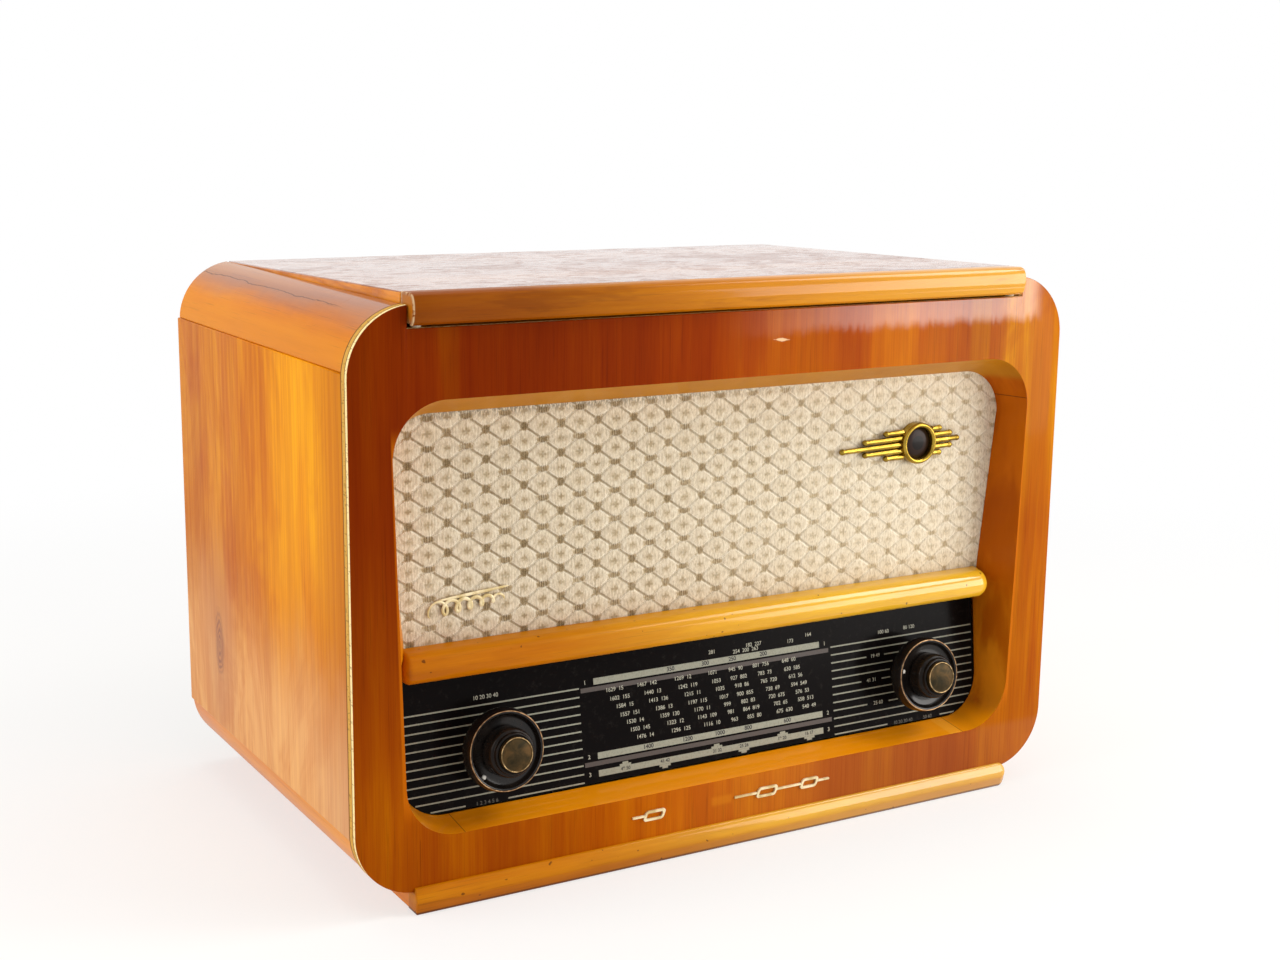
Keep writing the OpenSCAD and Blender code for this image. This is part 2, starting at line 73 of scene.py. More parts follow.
# %% Units and main sizes
MM = 0.001
board_low, board_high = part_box("front_board")
FRONT = board_low.y
HALF_W = board_high.x / MM
SHOULDER_Z = board_high.z / MM
BODY_Z = board_low.z / MM
BOARD_T = (board_high.y - FRONT) / MM
CORNER_R = 38.5
LID_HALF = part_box("lid_panel")[1].x / MM
CLOTH_Y = (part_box("speaker_cloth")[0].y - FRONT) / MM
RAIL_LOW, RAIL_HIGH = (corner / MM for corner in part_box("cross_rail"))
HINGE_Y, HINGE_Z = 298.5, 329.7
LID_RISE = math.radians(1.155)


def metres(x, y, z):
    """Points in mm (y behind the front face) as metres in the model's frame, on a last axis of 3."""
    x, y, z = np.broadcast_arrays(*(np.asarray(v, float) for v in (x, y, z)))
    return np.stack([x * MM, FRONT + y * MM, z * MM], -1)


print("half width", round(HALF_W, 1), "shoulder", round(SHOULDER_Z, 1))

# %% [markdown]
# The dial glass leans back by a few degrees. Print and knobs all belong to that plane, so it gets a
# frame of its own: x across, v up the glass, w out of the glass towards the listener.

# %% The leaning dial plane
LEAN = math.radians(8)
DIAL_Y, DIAL_Z = 22.3, 42
KNOB_X, KNOB_V = 153, 39.7


def on_dial(x, v, w):
    """Points on the dial plane: up the glass by v and out of it by w, both in mm."""
    y = DIAL_Y + v * math.sin(LEAN) - w * math.cos(LEAN)
    return metres(x, y, DIAL_Z + v * math.cos(LEAN) + w * math.sin(LEAN))


# %% [markdown]
# The camera stands where the photographer stood: left of the set, a little above its top, looking
# slightly down. Its place was worked out from the straight edges of the case.

# %% Camera
CAMERA_AT = (-601.4, -901.6, 446)
YAW, PITCH, ROLL = (math.radians(a) for a in (30.54, 11.38, 0.72))
ahead = np.array([math.sin(YAW) * math.cos(PITCH), math.cos(YAW) * math.cos(PITCH), -math.sin(PITCH)])
level = np.array([math.cos(YAW), -math.sin(YAW), 0])
rise = np.cross(level, ahead)


def placed(kind, name, data, side, up, away, place):
    """A camera or lamp object whose own x, y and z point along side, up and away."""
    turn = np.eye(4)
    turn[:3] = np.stack([side, up, away, place], 1)
    made = bpy.data.objects.new(name, data)
    bpy.context.scene.collection.objects.link(made)
    made.matrix_world = Matrix(turn.tolist())
    print(kind, name, [round(float(c), 3) for c in place])
    return made


lens = bpy.data.cameras.new("photo_camera")
lens.sensor_width, lens.lens = 36, 52.29
lens.clip_start, lens.clip_end = 0.05, 20
bpy.context.scene.camera = placed(
    "camera", "photo_camera", lens, math.cos(ROLL) * level + math.sin(ROLL) * rise,
    math.cos(ROLL) * rise - math.sin(ROLL) * level, -ahead, metres(*CAMERA_AT))

# %% [markdown]
# Shader maths reads best as Python. Wire wraps one socket and overloads the operators, so that
# 1 - mask or height * 0.3 + weave adds the Math nodes. Paint holds one material: its node() method
# makes any node from a type, settings and the values or wires of its sockets. A finish is then a list of
# coats over a first colour, each with the share of the surface that it covers.

# %% Wires and paints
class Wire:
    """One value in a material. Python's operators on it add Math nodes."""

    def __init__(self, paint, socket):
        self.paint, self.socket = paint, socket

    def math(self, operation, *others):
        """A Math node fed by this wire and then the others."""
        return self.paint.node("ShaderNodeMath", {"operation": operation}, dict(enumerate((self, *others))))

    def __rsub__(self, other):
        return self.paint.node("ShaderNodeMath", {"operation": "SUBTRACT"}, {0: other, 1: self})

    __add__ = __radd__ = partialmethod(math, "ADD")
    __sub__ = partialmethod(math, "SUBTRACT")
    __mul__ = __rmul__ = partialmethod(math, "MULTIPLY")
    __truediv__ = partialmethod(math, "DIVIDE")
    __abs__ = partialmethod(math, "ABSOLUTE")
    bigger = partialmethod(math, "MAXIMUM")
    smaller = partialmethod(math, "MINIMUM")
    sine = partialmethod(math, "SINE")

    def above(self, edge, soft):
        """0 below the edge and 1 above it, with a smooth step of half width soft."""
        ends = {"Value": self, "From Min": edge - soft, "From Max": edge + soft}
        return self.paint.node("ShaderNodeMapRange", {"interpolation_type": "SMOOTHSTEP"}, ends)

    def below(self, edge, soft):
        return 1 - self.above(edge, soft)

    def between(self, low, high, soft):
        return self.above(low, soft) * self.below(high, soft)

    def near(self, centre, width, soft):
        """1 within width of the centre, fading over soft."""
        return abs(self - centre).below(width, soft)


def reach(across, up):
    """How far a spot is from a middle: the root of the sum of the two squares."""
    return (across * across + up * up).math("SQRT")


TINT = "MULTIPLY"


class Paint:
    """One material, built node by node."""

    def __init__(self, name, owner=None):
        """Nodes for a new material, or for an owner that is given, such as a world."""
        self.material = owner or bpy.data.materials.new(name)
        self.material.use_nodes = True
        self.tree = self.material.node_tree
        self.tree.nodes.clear()

    def node(self, kind, settings=None, feeds=None, out=0):
        """A node with its settings and with values or wires for its sockets; None leaves a socket alone."""
        made = self.tree.nodes.new(kind)
        for key, value in (settings or {}).items():
            setattr(made, key, value)
        for key, value in (feeds or {}).items():
            if isinstance(value, Wire):
                self.tree.links.new(value.socket, made.inputs[key])
            elif value is not None:
                made.inputs[key].default_value = value
        return Wire(self, made.outputs[out]) if out is not None else made

    def object_place(self):
        return self.node("ShaderNodeTexCoord", out="Object")

    def axes(self):
        """The object's x, y and z in millimetres, y counted from the front face."""
        split = self.node("ShaderNodeSeparateXYZ", feeds={0: self.object_place()}).socket.node
        x, y, z = (Wire(self, split.outputs[i]) for i in range(3))
        return x / MM, (y - FRONT) / MM, z / MM

    def noise(self, scale, stretch=(1, 1, 1), detail=3, rough=0.55, distort=0, shift=(0, 0, 0)):
        """Noise of so many cells to the metre. A stretch below 1 draws it out along that axis."""
        place = {0: self.object_place(), "Location": shift, "Scale": stretch}
        spot = self.node("ShaderNodeMapping", feeds=place)
        feeds = {"Vector": spot, "Scale": scale, "Detail": detail, "Roughness": rough, "Distortion": distort}
        return self.node("ShaderNodeTexNoise", feeds=feeds)

    def ramp(self, value, stops):
        """A colour that follows a value through stops of (place, colour)."""
        made = self.node("ShaderNodeValToRGB", feeds={0: value})
        elements = made.socket.node.color_ramp.elements
        while len(elements) < len(stops):
            elements.new(1)
        for element, (place, colour) in zip(elements, stops):
            element.position, element.color = place, (*colour, 1)
        return made

    def mix(self, share, first, second, how="MIX"):
        first, second = ((*c, 1) if isinstance(c, tuple) else c for c in (first, second))
        feeds = {0: share, 6: first, 7: second}
        return self.node("ShaderNodeMix", {"data_type": "RGBA", "blend_type": how}, feeds, 2)

    def coats(self, colour, *layers):
        """Layers over a colour, in order. Each is (share, colour), or (share, factors, TINT), which
        multiplies what lies below it."""
        for share, tone, *how in layers:
            colour = self.mix(share, colour, tone, *how)
        return colour

    def bump(self, height, depth, strength=1):
        return self.node("ShaderNodeBump", feeds={"Height": height, "Distance": depth, "Strength": strength})

    def finish(self, colour, rough, normal=None, metal=0, **constants):
        feeds = {"Base Color": (*colour, 1) if isinstance(colour, tuple) else colour, "Roughness": rough}
        feeds.update({"Metallic": metal, "Normal": normal})
        for name, value in constants.items():
            feeds[name.replace("_", " ").title().replace("Ior", "IOR")] = value
        shader = self.node("ShaderNodeBsdfPrincipled", feeds=feeds)
        self.node("ShaderNodeOutputMaterial", feeds={"Surface": shader}, out=None)
        return self.material


# %% [markdown]
# Lacquered wood carries most of the set. Real veneer shows four things at once: broad bands from the
# tree's rings, finer streaks, short dark pores along the grain, and a lacquer film that is never quite
# flat. Each is a noise stretched along the grain, and the film is the shader's coat.

# %% Lacquered wood
def along(grain, stretch):
    """The three stretches of a noise that is drawn out along one axis."""
    return tuple(stretch if axis == grain else 1 for axis in "xyz")


def wood(name, deep, middle, light, grain, seed, gloss=0.3, broad=24, extra=None, sheen=0.1):
    """Lacquered wood between three tones, with its grain along an axis, its bands so many to the metre,
    and a film of strength gloss. extra adds what is special to one piece: it gets the paint, the three
    axes, the colour and the roughness, and gives back the last two and, if it likes, another gloss."""
    p = Paint(name)
    bands = p.noise(broad, along(grain, 0.05), 3, 0.5, 0.5, (seed, seed, seed))
    streaks = p.noise(110, along(grain, 0.05), 4, 0.6, 0.2, (seed + 3, seed, 0))
    fibres = p.noise(1500, along(grain, 0.012), 2, 0.7, 0, (seed, 0, seed))
    clouds = p.noise(9, (1, 1, 1), 2, 0.5, 0.3, (seed + 7, 0, 0))
    tone = bands * 0.5 + streaks * 0.26 + fibres * 0.1 + clouds * 0.14
    pores = fibres.above(0.64, 0.05)
    colour = p.ramp(tone, [(0.32, deep), (0.5, middle), (0.66, light)])
    colour = p.mix(pores * 0.35, colour, tuple(0.45 * c for c in deep))
    rough = 0.3 + clouds * 0.12
    if extra:
        colour, rough, *film = extra(p, *p.axes(), colour, rough)
        gloss = film[0] if film else gloss
    scratches = p.noise(420, (0.03, 1, 0.6), 2, 0.6, 0.4, (seed, 5, 0)).above(0.7, 0.03)
    height = p.noise(60, detail=2) * 0.6 - pores * 0.12 - scratches * 0.15
    return p.finish(colour, rough + scratches * 0.1, p.bump(height, 0.0005, 0.25),
                    coat_weight=gloss, coat_roughness=0.07, specular_ior_level=sheen)


AMBER = ((0.4, 0.085, 0.001), (0.66, 0.19, 0.002), (0.8, 0.31, 0.01))
GOLDEN = ((0.44, 0.11, 0.001), (0.68, 0.24, 0.001), (0.84, 0.4, 0.012))
RUSSET = ((0.15, 0.009, 0), (0.215, 0.022, 0), (0.3, 0.046, 0))
HONEY = ((0.44, 0.1, 0), (0.57, 0.155, 0.001), (0.67, 0.21, 0.003))
PLUM = ((0.2, 0.05, 0.012), (0.38, 0.115, 0.024), (0.54, 0.2, 0.05))
PINE = ((0.36, 0.23, 0.11), (0.5, 0.34, 0.18), (0.62, 0.45, 0.26))
print("tones of wood", len(AMBER + GOLDEN + RUSSET + HONEY + PLUM + PINE))

# %% [markdown]
# The front board is veneered plywood. Its left side has dark red leaves and it turns orange to the
# right. Behind the veneer, which is 0.7 mm thick, the cut edge of the plywood shows: pale layers with a
# dark line of glue between them. The depth behind the front face tells them apart.

# %% Front veneer and plywood edge
VENEER_T = 0.7
CHIP_X, CHIP_Z = 26.9, 311.3


def front_finish(p, x, y, z, colour, rough):
    cloud = p.noise(7, (1, 1, 0.5), 3, 0.5)
    low, high = z.below(46, 3), z.above(288, 4)
    warm = x.above(50, 170).bigger(z.below(130, 110) * x.below(-120, 60) * 1.2)
    warm = warm.bigger(low * (x.between(-120, 60, 40) * 0.5 + 0.85))
    warm = (warm + low * 0.3 + cloud * 0.5 - 0.27).bigger(0).smaller(1)
    dark_leaf = (x + (z - 290) * 0.09).above(-191.6, 1.8) * x.below(-182.8, 0.9) * high
    glow = x.above(196, 12) * z.above(225, 50) * p.noise(13, (1, 1, 0.35), 3, 0.6, 1.5).above(0.42, 0.12)
    noon = (x.between(-60, 150, 60) * z.above(285, 5)).bigger(x.between(-90, 70, 50) * low)
    figure = p.noise(15, (1, 1, 0.35), 3, 0.6, 1.5).above(0.5, 0.2)
    lines = p.noise(700, (1, 1, 0.014), 3, 0.7).above(0.55, 0.08)
    pale_leaf = (x + cloud * 8).between(176, 192, 1.5) * high
    # Painted highlight: rim is a thin lighter line on the face along the opening's left and right edges.
    rim = (abs(x) - 219.3 + (z - 166) * -0.022).below(1.3, 0.5) * z.between(60, 270, 8) * y.below(0.4, 0.3)
    patch = x.between(-16, -1, 1.5) * z.between(27, 32.5, 1.5)
    chip = abs(x - CHIP_X) * 0.2 + abs(z - CHIP_Z + (x - CHIP_X) * 0.06) + p.noise(500, detail=1) * 0.8
    seam = (x.near(208.6, 0.12, 0.15) * z.above(290, 1)).bigger(x.near(-208.6, 0.14, 0.15) * z.below(43, 1))
    colour = p.coats(
        colour,
        (1, p.mix(warm, (1, 1.1, 1), (1.72, 3.5, 2)), TINT),
        (dark_leaf * 0.35, (1.25, 2.4, 1.2), TINT),
        (glow * 0.85, (1.35, 1.9, 1), TINT),
        (noon, (1.35, 1.4, 0.6), TINT),
        # Painted reflection: the low rail is mixed towards a paler, bluer red to its right.
        (z.below(43, 3) * x.above(-10, 90) * 0.3, (0.42, 0.14, 0.045)),
        (figure * 0.3, (0.72, 0.62, 1), TINT),
        (lines * 0.35, (0.74, 0.55, 0.6), TINT),
        (pale_leaf * 0.5, (1.3, 2.2, 3), TINT),
        (rim * 0.7, (0.56, 0.14, 0.002)),
        (patch * 0.5, (0.62, 0.2, 0.01)),
        (chip.below(1.5, 0.2) * 0.9, (0.88, 0.6, 0.33)),
        (seam * 0.6, (0.08, 0.01, 0)))
    drip = p.noise(240, (1, 1, 0.05), 3, 0.7) * 13 + p.noise(22, (1, 1, 0.2), 1) * 8
    film = (z + drip).above(325.5, 4) * x.below(226, 7)
    film = film * x.above(70, 90) * 0.95 + x.above(120, 80) * 0.04 + 0.01
    speck = p.noise(900, (1, 0.3, 1), 2, 0.7)
    core = p.coats(
        p.mix(y.above(3.6, 0.3), (1, 0.8, 0.4), (0.64, 0.36, 0.08)),
        (y.near(3.8, 0.35, 0.25), (0.09, 0.04, 0.015)),
        (y.near(8.8, 0.5, 0.3), (0.12, 0.05, 0.02)),
        (speck.above(0.62, 0.05) * 0.6, (0.12, 0.06, 0.02)),
        (y.above(11, 1.2) * speck.above(0.5, 0.06) * 0.8, (0.06, 0.03, 0.01)))
    edge = y.above(VENEER_T, 0.12)
    return p.mix(edge, colour, core), rough + edge * 0.25, film


front_wood = wood("front_veneer_lacquered", *RUSSET, "z", 1, 0.5, 20, front_finish, 0.02)
print("front veneer", front_wood.name)

# %% [markdown]
# Side veneer is lighter and has a knot low down near the back. The rounded mouldings are solid wood
# with a deeper lacquer, and the upper left one has a wavy crack where the curve begins. The long
# mouldings have painted shade that darkens them to the left and a painted highlight that pales them
# to the right, where they also catch a pale reflection in their film.

# %% Side panels and mouldings
KNOT_Y, KNOT_Z = 230, 102
# how many times longer than wide the knot is
KNOT_LONG = 2.4254


def side_finish(p, x, y, z, colour, rough):
    drift = p.noise(13, (1, 1, 0.55), 4, 0.6) * 110 - 55
    lines = p.noise(330, (1, 1, 0.014), 4, 0.75)
    honey = (y + drift).below(125, 85) * (z - drift).above(160, 70) * (y.above(30, 26) * 0.6 + 0.4)
    mottle = p.noise(14, (1, 1, 0.35), 4, 0.7, 1.4).above(0.52, 0.1) * (y.above(70, 50) * 0.7 + 0.3)
    flame = p.noise(11, (1, 1, 0.3), 3, 0.6, 1.8).above(0.5, 0.08) * z.above(150, 60) * y.above(45, 30)
    wobble = p.noise(70, (1, 1, 0.5), 3, 0.6) * 7
    knot = reach(y - KNOT_Y, (z - KNOT_Z) / KNOT_LONG) + wobble + x.above(0, 1) * 60
    return p.coats(
        colour,
        (honey * 0.85, (0.84, 0.32, 0)),
        ((y - drift).above(190, 60) * 0.4, (0.57, 0.22, 0.06)),
        ((z - drift).below(125, 55) * 0.7, (0.88, 0.52, 0.22)),
        (lines.above(0.52, 0.07) * (z.above(150, 60) * 0.15 + 0.27), (0.78, 0.58, 0.5), TINT),
        (lines.below(0.44, 0.05) * 0.2, (1.15, 1.35, 1.2), TINT),
        (mottle * 0.7, (0.82, 0.64, 0.55), TINT),
        (flame * 0.6, (1.2, 1.5, 0.8), TINT),
        (knot.below(30, 17) * 0.45, (0.42, 0.16, 0.09)),
        (y.below(45, 35) * 0.8, (0.8, 0.78, 1), TINT),
        (knot.below(11.5, 3) * ((knot * 3.4).sine() * 0.25 + 0.45), (0.2, 0.09, 0.08))), rough


def shoulder_finish(p, x, y, z, colour, rough):
    beside = x + 228.3 + p.noise(26, (1, 1, 1), 4, 0.65) * 5 - 2.5
    crack = beside.near(0, 0.26, 0.22) * z.above(329, 2) * y.above(60, 14)
    cloud = p.noise(16, (1, 0.6, 1), 4, 0.6) * 22 - 11
    top = (z + cloud).above(330, 8)
    brown = beside.near(1, 1.5, 5.5) * (y + cloud * 2).above(70, 40)
    return p.coats(
        colour,
        (top * 0.7, (0.5, 0.49, 2), TINT),
        ((z + cloud).below(322, 6) * 0.5, (0.7, 0.255, 0.006)),
        (brown * 0.6, (0.62, 0.5, 0.5), TINT),
        (crack * 0.8, (0.05, 0.015, 0.005))), rough + crack * 0.3, top * 0.6 + 0.05


def grip_finish(p, x, y, z, colour, rough):
    wear = p.noise(70, (0.12, 1, 1), 4, 0.7).above(0.56, 0.06)
    chip = abs(x).near(LID_HALF - 0.9, 0.45, 0.4) * p.noise(420, detail=2).above(0.44, 0.1)
    return p.coats(
        colour,
        # Painted shade: the lid moulding is much darker to the left.
        (x.below(-60, 130) * 0.95, (0.38, 0.24, 0.2), TINT),
        # Painted highlight: paler golden to the right.
        (x.above(60, 140) * 0.75, (0.74, 0.36, 0.012)),
        (wear * 0.45, (0.55, 0.42, 0.4), TINT),
        (chip * 0.75, (0.84, 0.62, 0.36)),
        (abs(x).above(LID_HALF - 0.3, 0.15) * 0.7, (0.5, 0.17, 0.01))), rough, x.above(40, 180) * 0.7 + 0.08


def rail_finish(p, x, y, z, colour, rough):
    smears = p.noise(45, (0.15, 1, 1), 4, 0.7).above(0.56, 0.08)
    specks = p.noise(330, detail=0).above(0.83, 0.02)
    return p.coats(
        colour,
        # Painted shade: darker to the left.
        (x.below(0, 160) * 0.8, (0.72, 0.58, 0.2), TINT),
        # Painted highlight: paler yellow to the right.
        (x.above(-15, 130) * 0.85, (0.82, 0.49, 0.025)),
        (smears * 0.35, (0.7, 0.58, 0.5), TINT),
        # Painted reflection: the base moulding's right part is tinted duller and bluer.
        (x.above(90, 90) * z.below(20, 1), (0.88, 0.84, 2), TINT),
        # Painted shade under the curve, with some soiling: the base moulding is darker on its lower part.
        (z.below(7.5, 3) * 0.75, (0.74, 0.56, 0.5), TINT),
        # Painted shadow: a dark line along the base moulding's foot, where it meets the floor.
        (z.below(1.6, 0.5) * 0.8, (0.1, 0.03, 0.01)),
        (specks * 0.75, (0.08, 0.02, 0))), rough, x.above(20, 150) * 0.9 + 0.1


def lid_finish(p, x, y, z, colour, rough):
    stained = (p.noise(26, (1, 1, 1), 5, 0.7, 1.2) * 0.7 + p.noise(7, (1, 1, 1), 2) * 0.3).above(0.53, 0.05)
    level = z - HINGE_Z + (y - HINGE_Y) * math.tan(LID_RISE)
    edge = level.below(12.1, 0.25)
    grain, run = p.noise(300, (1, 0.1, 1), 3), p.noise(34, (0.07, 1, 1), 4, 0.6, 0.4)
    amber = p.ramp(grain, [(0.35, (0.5, 0.13, 0.002)), (0.65, (0.8, 0.28, 0.006))])
    run_tones = [(0.34, (0.3, 0.085, 0.006)), (0.5, (0.46, 0.16, 0.014)), (0.66, (0.6, 0.25, 0.03))]
    crackle = p.noise(240, (0.35, 1, 1), 4, 0.75, 0.6).above(0.55, 0.06)
    film = (1 - edge) * (1 - crackle * 0.45) * (1 - stained * 0.25) * 0.9 + 0.1
    return p.coats(
        colour,
        (stained * 0.4, (0.14, 0.03, 0.006)),
        (crackle * 0.5, (0.12, 0.03, 0.008)),
        (edge, p.mix(level.below(1.3, 0.2), amber, p.ramp(run, run_tones)))), rough + stained * 0.15, film


side_wood = wood("side_veneer_lacquered", *HONEY, "z", 2, 0.03, 17, side_finish, 0.02)
shoulder_wood = wood("shoulder_lacquered", *AMBER, "y", 4, 0.16, 14, shoulder_finish, 0.05)
foot_wood = wood("lower_moulding_lacquered", *AMBER, "y", 5, 0.15, 14)
bright_wood = wood("moulding_lacquered", *GOLDEN, "x", 6, 0.3, 16, rail_finish, 0.05)
grip_wood = wood("lid_moulding_lacquered", *GOLDEN, "x", 7, 0.3, 16, grip_finish, 0.05)
lid_wood = wood("lid_veneer_lacquered", *PLUM, "x", 8, 0.8, 18, lid_finish, 0.3)
deck_wood = wood("deck_veneer_satin", *AMBER, "x", 9)
bare_wood = wood("bare_board", *PINE, "x", 10, 0)
print("woods", [paint.name for paint in bpy.data.materials if "lacquered" in paint.name])

# %% [markdown]
# A surface here is a grid of points worked out all at once: P has one row of points for each value of
# the first parameter and one column for each value of the second. skin() turns the grid into faces,
# closes it round where asked, merges poles and makes the normals point outwards.

# %% From grid to mesh
SHARP = 40


def skin(name, grids, paint, nodes=(), body="root", wrap="v", smooth=35):
    """One mesh from one or more grids of points of shape (rows, columns, 3), in metres. The first
    parameter closes round with "u" in wrap, the second with "v"."""
    points, faces, start = [], [], 0
    for P in grids if isinstance(grids, list) else [grids]:
        rows, cols = P.shape[:2]
        index = start + np.arange(rows * cols).reshape(rows, cols)
        index = np.vstack([index, index[:1]]) if "u" in wrap else index
        index = np.hstack([index, index[:, :1]]) if "v" in wrap else index
        quads = np.stack([index[:-1, :-1], index[1:, :-1], index[1:, 1:], index[:-1, 1:]], -1)
        points.append(P.reshape(-1, 3))
        faces.append(quads.reshape(-1, 4))
        start += rows * cols
    mesh = bpy.data.meshes.new(name)
    mesh.from_pydata(np.concatenate(points).tolist(), [], np.concatenate(faces).tolist())
    return settle(name, mesh, paint, nodes, body, smooth)


def settle(name, mesh, paint, nodes=(), body="root", smooth=35, flatten=False):
    """Closes a mesh's seams, joins flat faces where asked, turns them outwards, and puts it on its body."""
    work = bmesh.new()
    work.from_mesh(mesh)
    bmesh.ops.remove_doubles(work, verts=work.verts, dist=1e-6)
    if flatten:
        bmesh.ops.dissolve_limit(work, angle_limit=math.radians(0.5), verts=work.verts, edges=work.edges)
    bmesh.ops.dissolve_degenerate(work, dist=1e-7, edges=work.edges)
    bmesh.ops.recalc_face_normals(work, faces=work.faces)
    work.to_mesh(mesh)
    work.free()
    mesh.polygons.foreach_set("use_smooth", np.ones(len(mesh.polygons), bool))
    mesh.set_sharp_from_angle(angle=math.radians(smooth))
    mesh.materials.append(paint)
    piece = bpy.data.objects.new(name, mesh)
    bpy.context.scene.collection.objects.link(piece)
    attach(piece, body)
    if nodes:
        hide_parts(*nodes)
    return piece


def rounded(name, node, paint, width, body="root"):
    """A merged copy of a model node with its sharp edges rounded by a Bevel modifier, width in mm."""
    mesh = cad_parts[node].data.copy()
    mesh.materials.clear()
    piece = settle(name, mesh, paint, (node,), body, SHARP, True)
    bevel = piece.modifiers.new("rounding", "BEVEL")
    bevel.width, bevel.segments = width * MM, 2
    bevel.limit_method, bevel.angle_limit = "ANGLE", math.radians(SHARP)
    bevel.harden_normals = False


# %% [markdown]
# The front opening is a rectangle with round corners that is a little narrower at its foot. The same
# function, with other sizes, gives the edge at the front face and the edge at the cloth.

# %% Outlines
ARC_STEPS = 36
SIDE_STEPS = 22


def corner_arc(cx, cz, r, first, last, steps=ARC_STEPS):
    """A circle's arc: centre plus radius times cosine and sine of an even run of angles."""
    a = np.radians(np.linspace(first, last, steps))
    return np.stack([cx + r * np.cos(a), cz + r * np.sin(a)], -1)


def joined(arcs):
    """Arcs joined by straights into one closed line."""
    t = np.linspace(0, 1, SIDE_STEPS + 2)[1:-1, None]
    runs = []
    for here, after in zip(arcs, arcs[1:] + arcs[:1]):
        runs += [here, here[-1] * (1 - t) + after[0] * t]
    return np.concatenate(runs)


def opening(top_half, foot_half, low, high, r):
    """Four arcs joined by straights, counted round from the start of the lower right corner."""
    corners = ((foot_half - r, low + r, -90), (top_half - r, high - r, 0), (r - top_half, high - r, 90),
               (r - foot_half, low + r, 180))
    return joined([corner_arc(cx, cz, r, first, first + 90) for cx, cz, first in corners])


def at_depth(outline, depth):
    """An outline of (x, z) set at a depth behind the front face."""
    return metres(outline[..., 0], depth, outline[..., 1])


FRONT_EDGE = opening(222, 216.5, 42.6, 290.3, 32)
INNER_EDGE = opening(217.5, 211.5, 46, 279.3, 28)
LINER_EDGE = opening(229, 223.5, 35.6, 297.3, 39)
print("points round the opening", len(FRONT_EDGE))

# %% [markdown]
# The front board is a closed band round the opening. Walking across it, the profile goes from the
# opening's edge over the flat face to the outer edge, round the veneer's small radius, back along the
# plywood edge and home behind. The outer outline has the same count of points as the opening, run for
# run, and it steps down under the lid.

# %% Front board
SILL_Z = 329.5
NOTCH_X = LID_HALF + 0.8
EDGE_R = 0.5


def board_outline(inset=0):
    """The board's outline, run for run like the opening's: arcs at the corners, a step below the lid."""
    r = CORNER_R - inset
    cx, low, high = HALF_W - CORNER_R, BODY_Z + CORNER_R, SHOULDER_Z - CORNER_R
    lean = math.degrees(math.acos((NOTCH_X + inset - cx) / r))
    across = FRONT_EDGE[ARC_STEPS + SIDE_STEPS:2 * ARC_STEPS + SIDE_STEPS, 0]
    kept = int(np.sum(across >= NOTCH_X + 0.5))
    sill = np.stack([across[kept + 1:], np.full(ARC_STEPS - kept - 1, SILL_Z - inset)], -1)
    wall = np.array([[NOTCH_X + inset, SILL_Z - inset]])
    up_right = np.concatenate([corner_arc(cx, high, r, 0, lean, kept), wall, sill])
    up_left = up_right[::-1] * [-1, 1]
    return joined([corner_arc(cx, low, r, -90, 0), up_right, up_left, corner_arc(-cx, low, r, 180, 270)])


outer, brow = board_outline(), board_outline(EDGE_R)
walk = [(FRONT_EDGE, BOARD_T), (FRONT_EDGE, 0), (brow, 0), (0.7 * outer + 0.3 * brow, 0.3 * EDGE_R),
        (outer, EDGE_R), (outer, BOARD_T)]
board = np.stack([at_depth(*row) for row in walk])
skin("front_board_veneered", board, front_wood, ("front_board",), wrap="uv", smooth=50)
print("front board", board.shape)

# %% [markdown]
# The liner is the bevelled reveal inside the opening. It tapers in from the front edge to the cloth,
# and below the cross rail it goes on to the leaning glass, so its depth depends on the height. Its two
# sides widen on their way down to the rail, which hides where they end.

# %% Opening liner
PINCH, PINCH_TOP = 7.3, 252
LINER_GAP = 0.02
MITRE_X, SPLICE_Z = 181, 263

height = INNER_EDGE[:, 1]
above_rail = height > RAIL_LOW.z + 8
glass_y = DIAL_Y + (height - DIAL_Z) * math.tan(LEAN)
depth = np.where(above_rail, CLOTH_Y, glass_y - 0.05)
pinch = PINCH * np.clip((PINCH_TOP - height) / (PINCH_TOP - RAIL_HIGH.z), 0, 1) * above_rail
INNER_EDGE[:, 0] -= np.sign(INNER_EDGE[:, 0]) * pinch
taper = np.linspace(0, 1, 7)[:, None]
share = np.minimum(taper * depth / CLOTH_Y, 1)[..., None]
reveal = at_depth(FRONT_EDGE * (1 - share) + INNER_EDGE * share, LINER_GAP + taper * depth)
walk = [(LINER_EDGE, np.maximum(depth, BOARD_T + 1)), (LINER_EDGE, BOARD_T + LINER_GAP),
        (FRONT_EDGE, BOARD_T + LINER_GAP)]


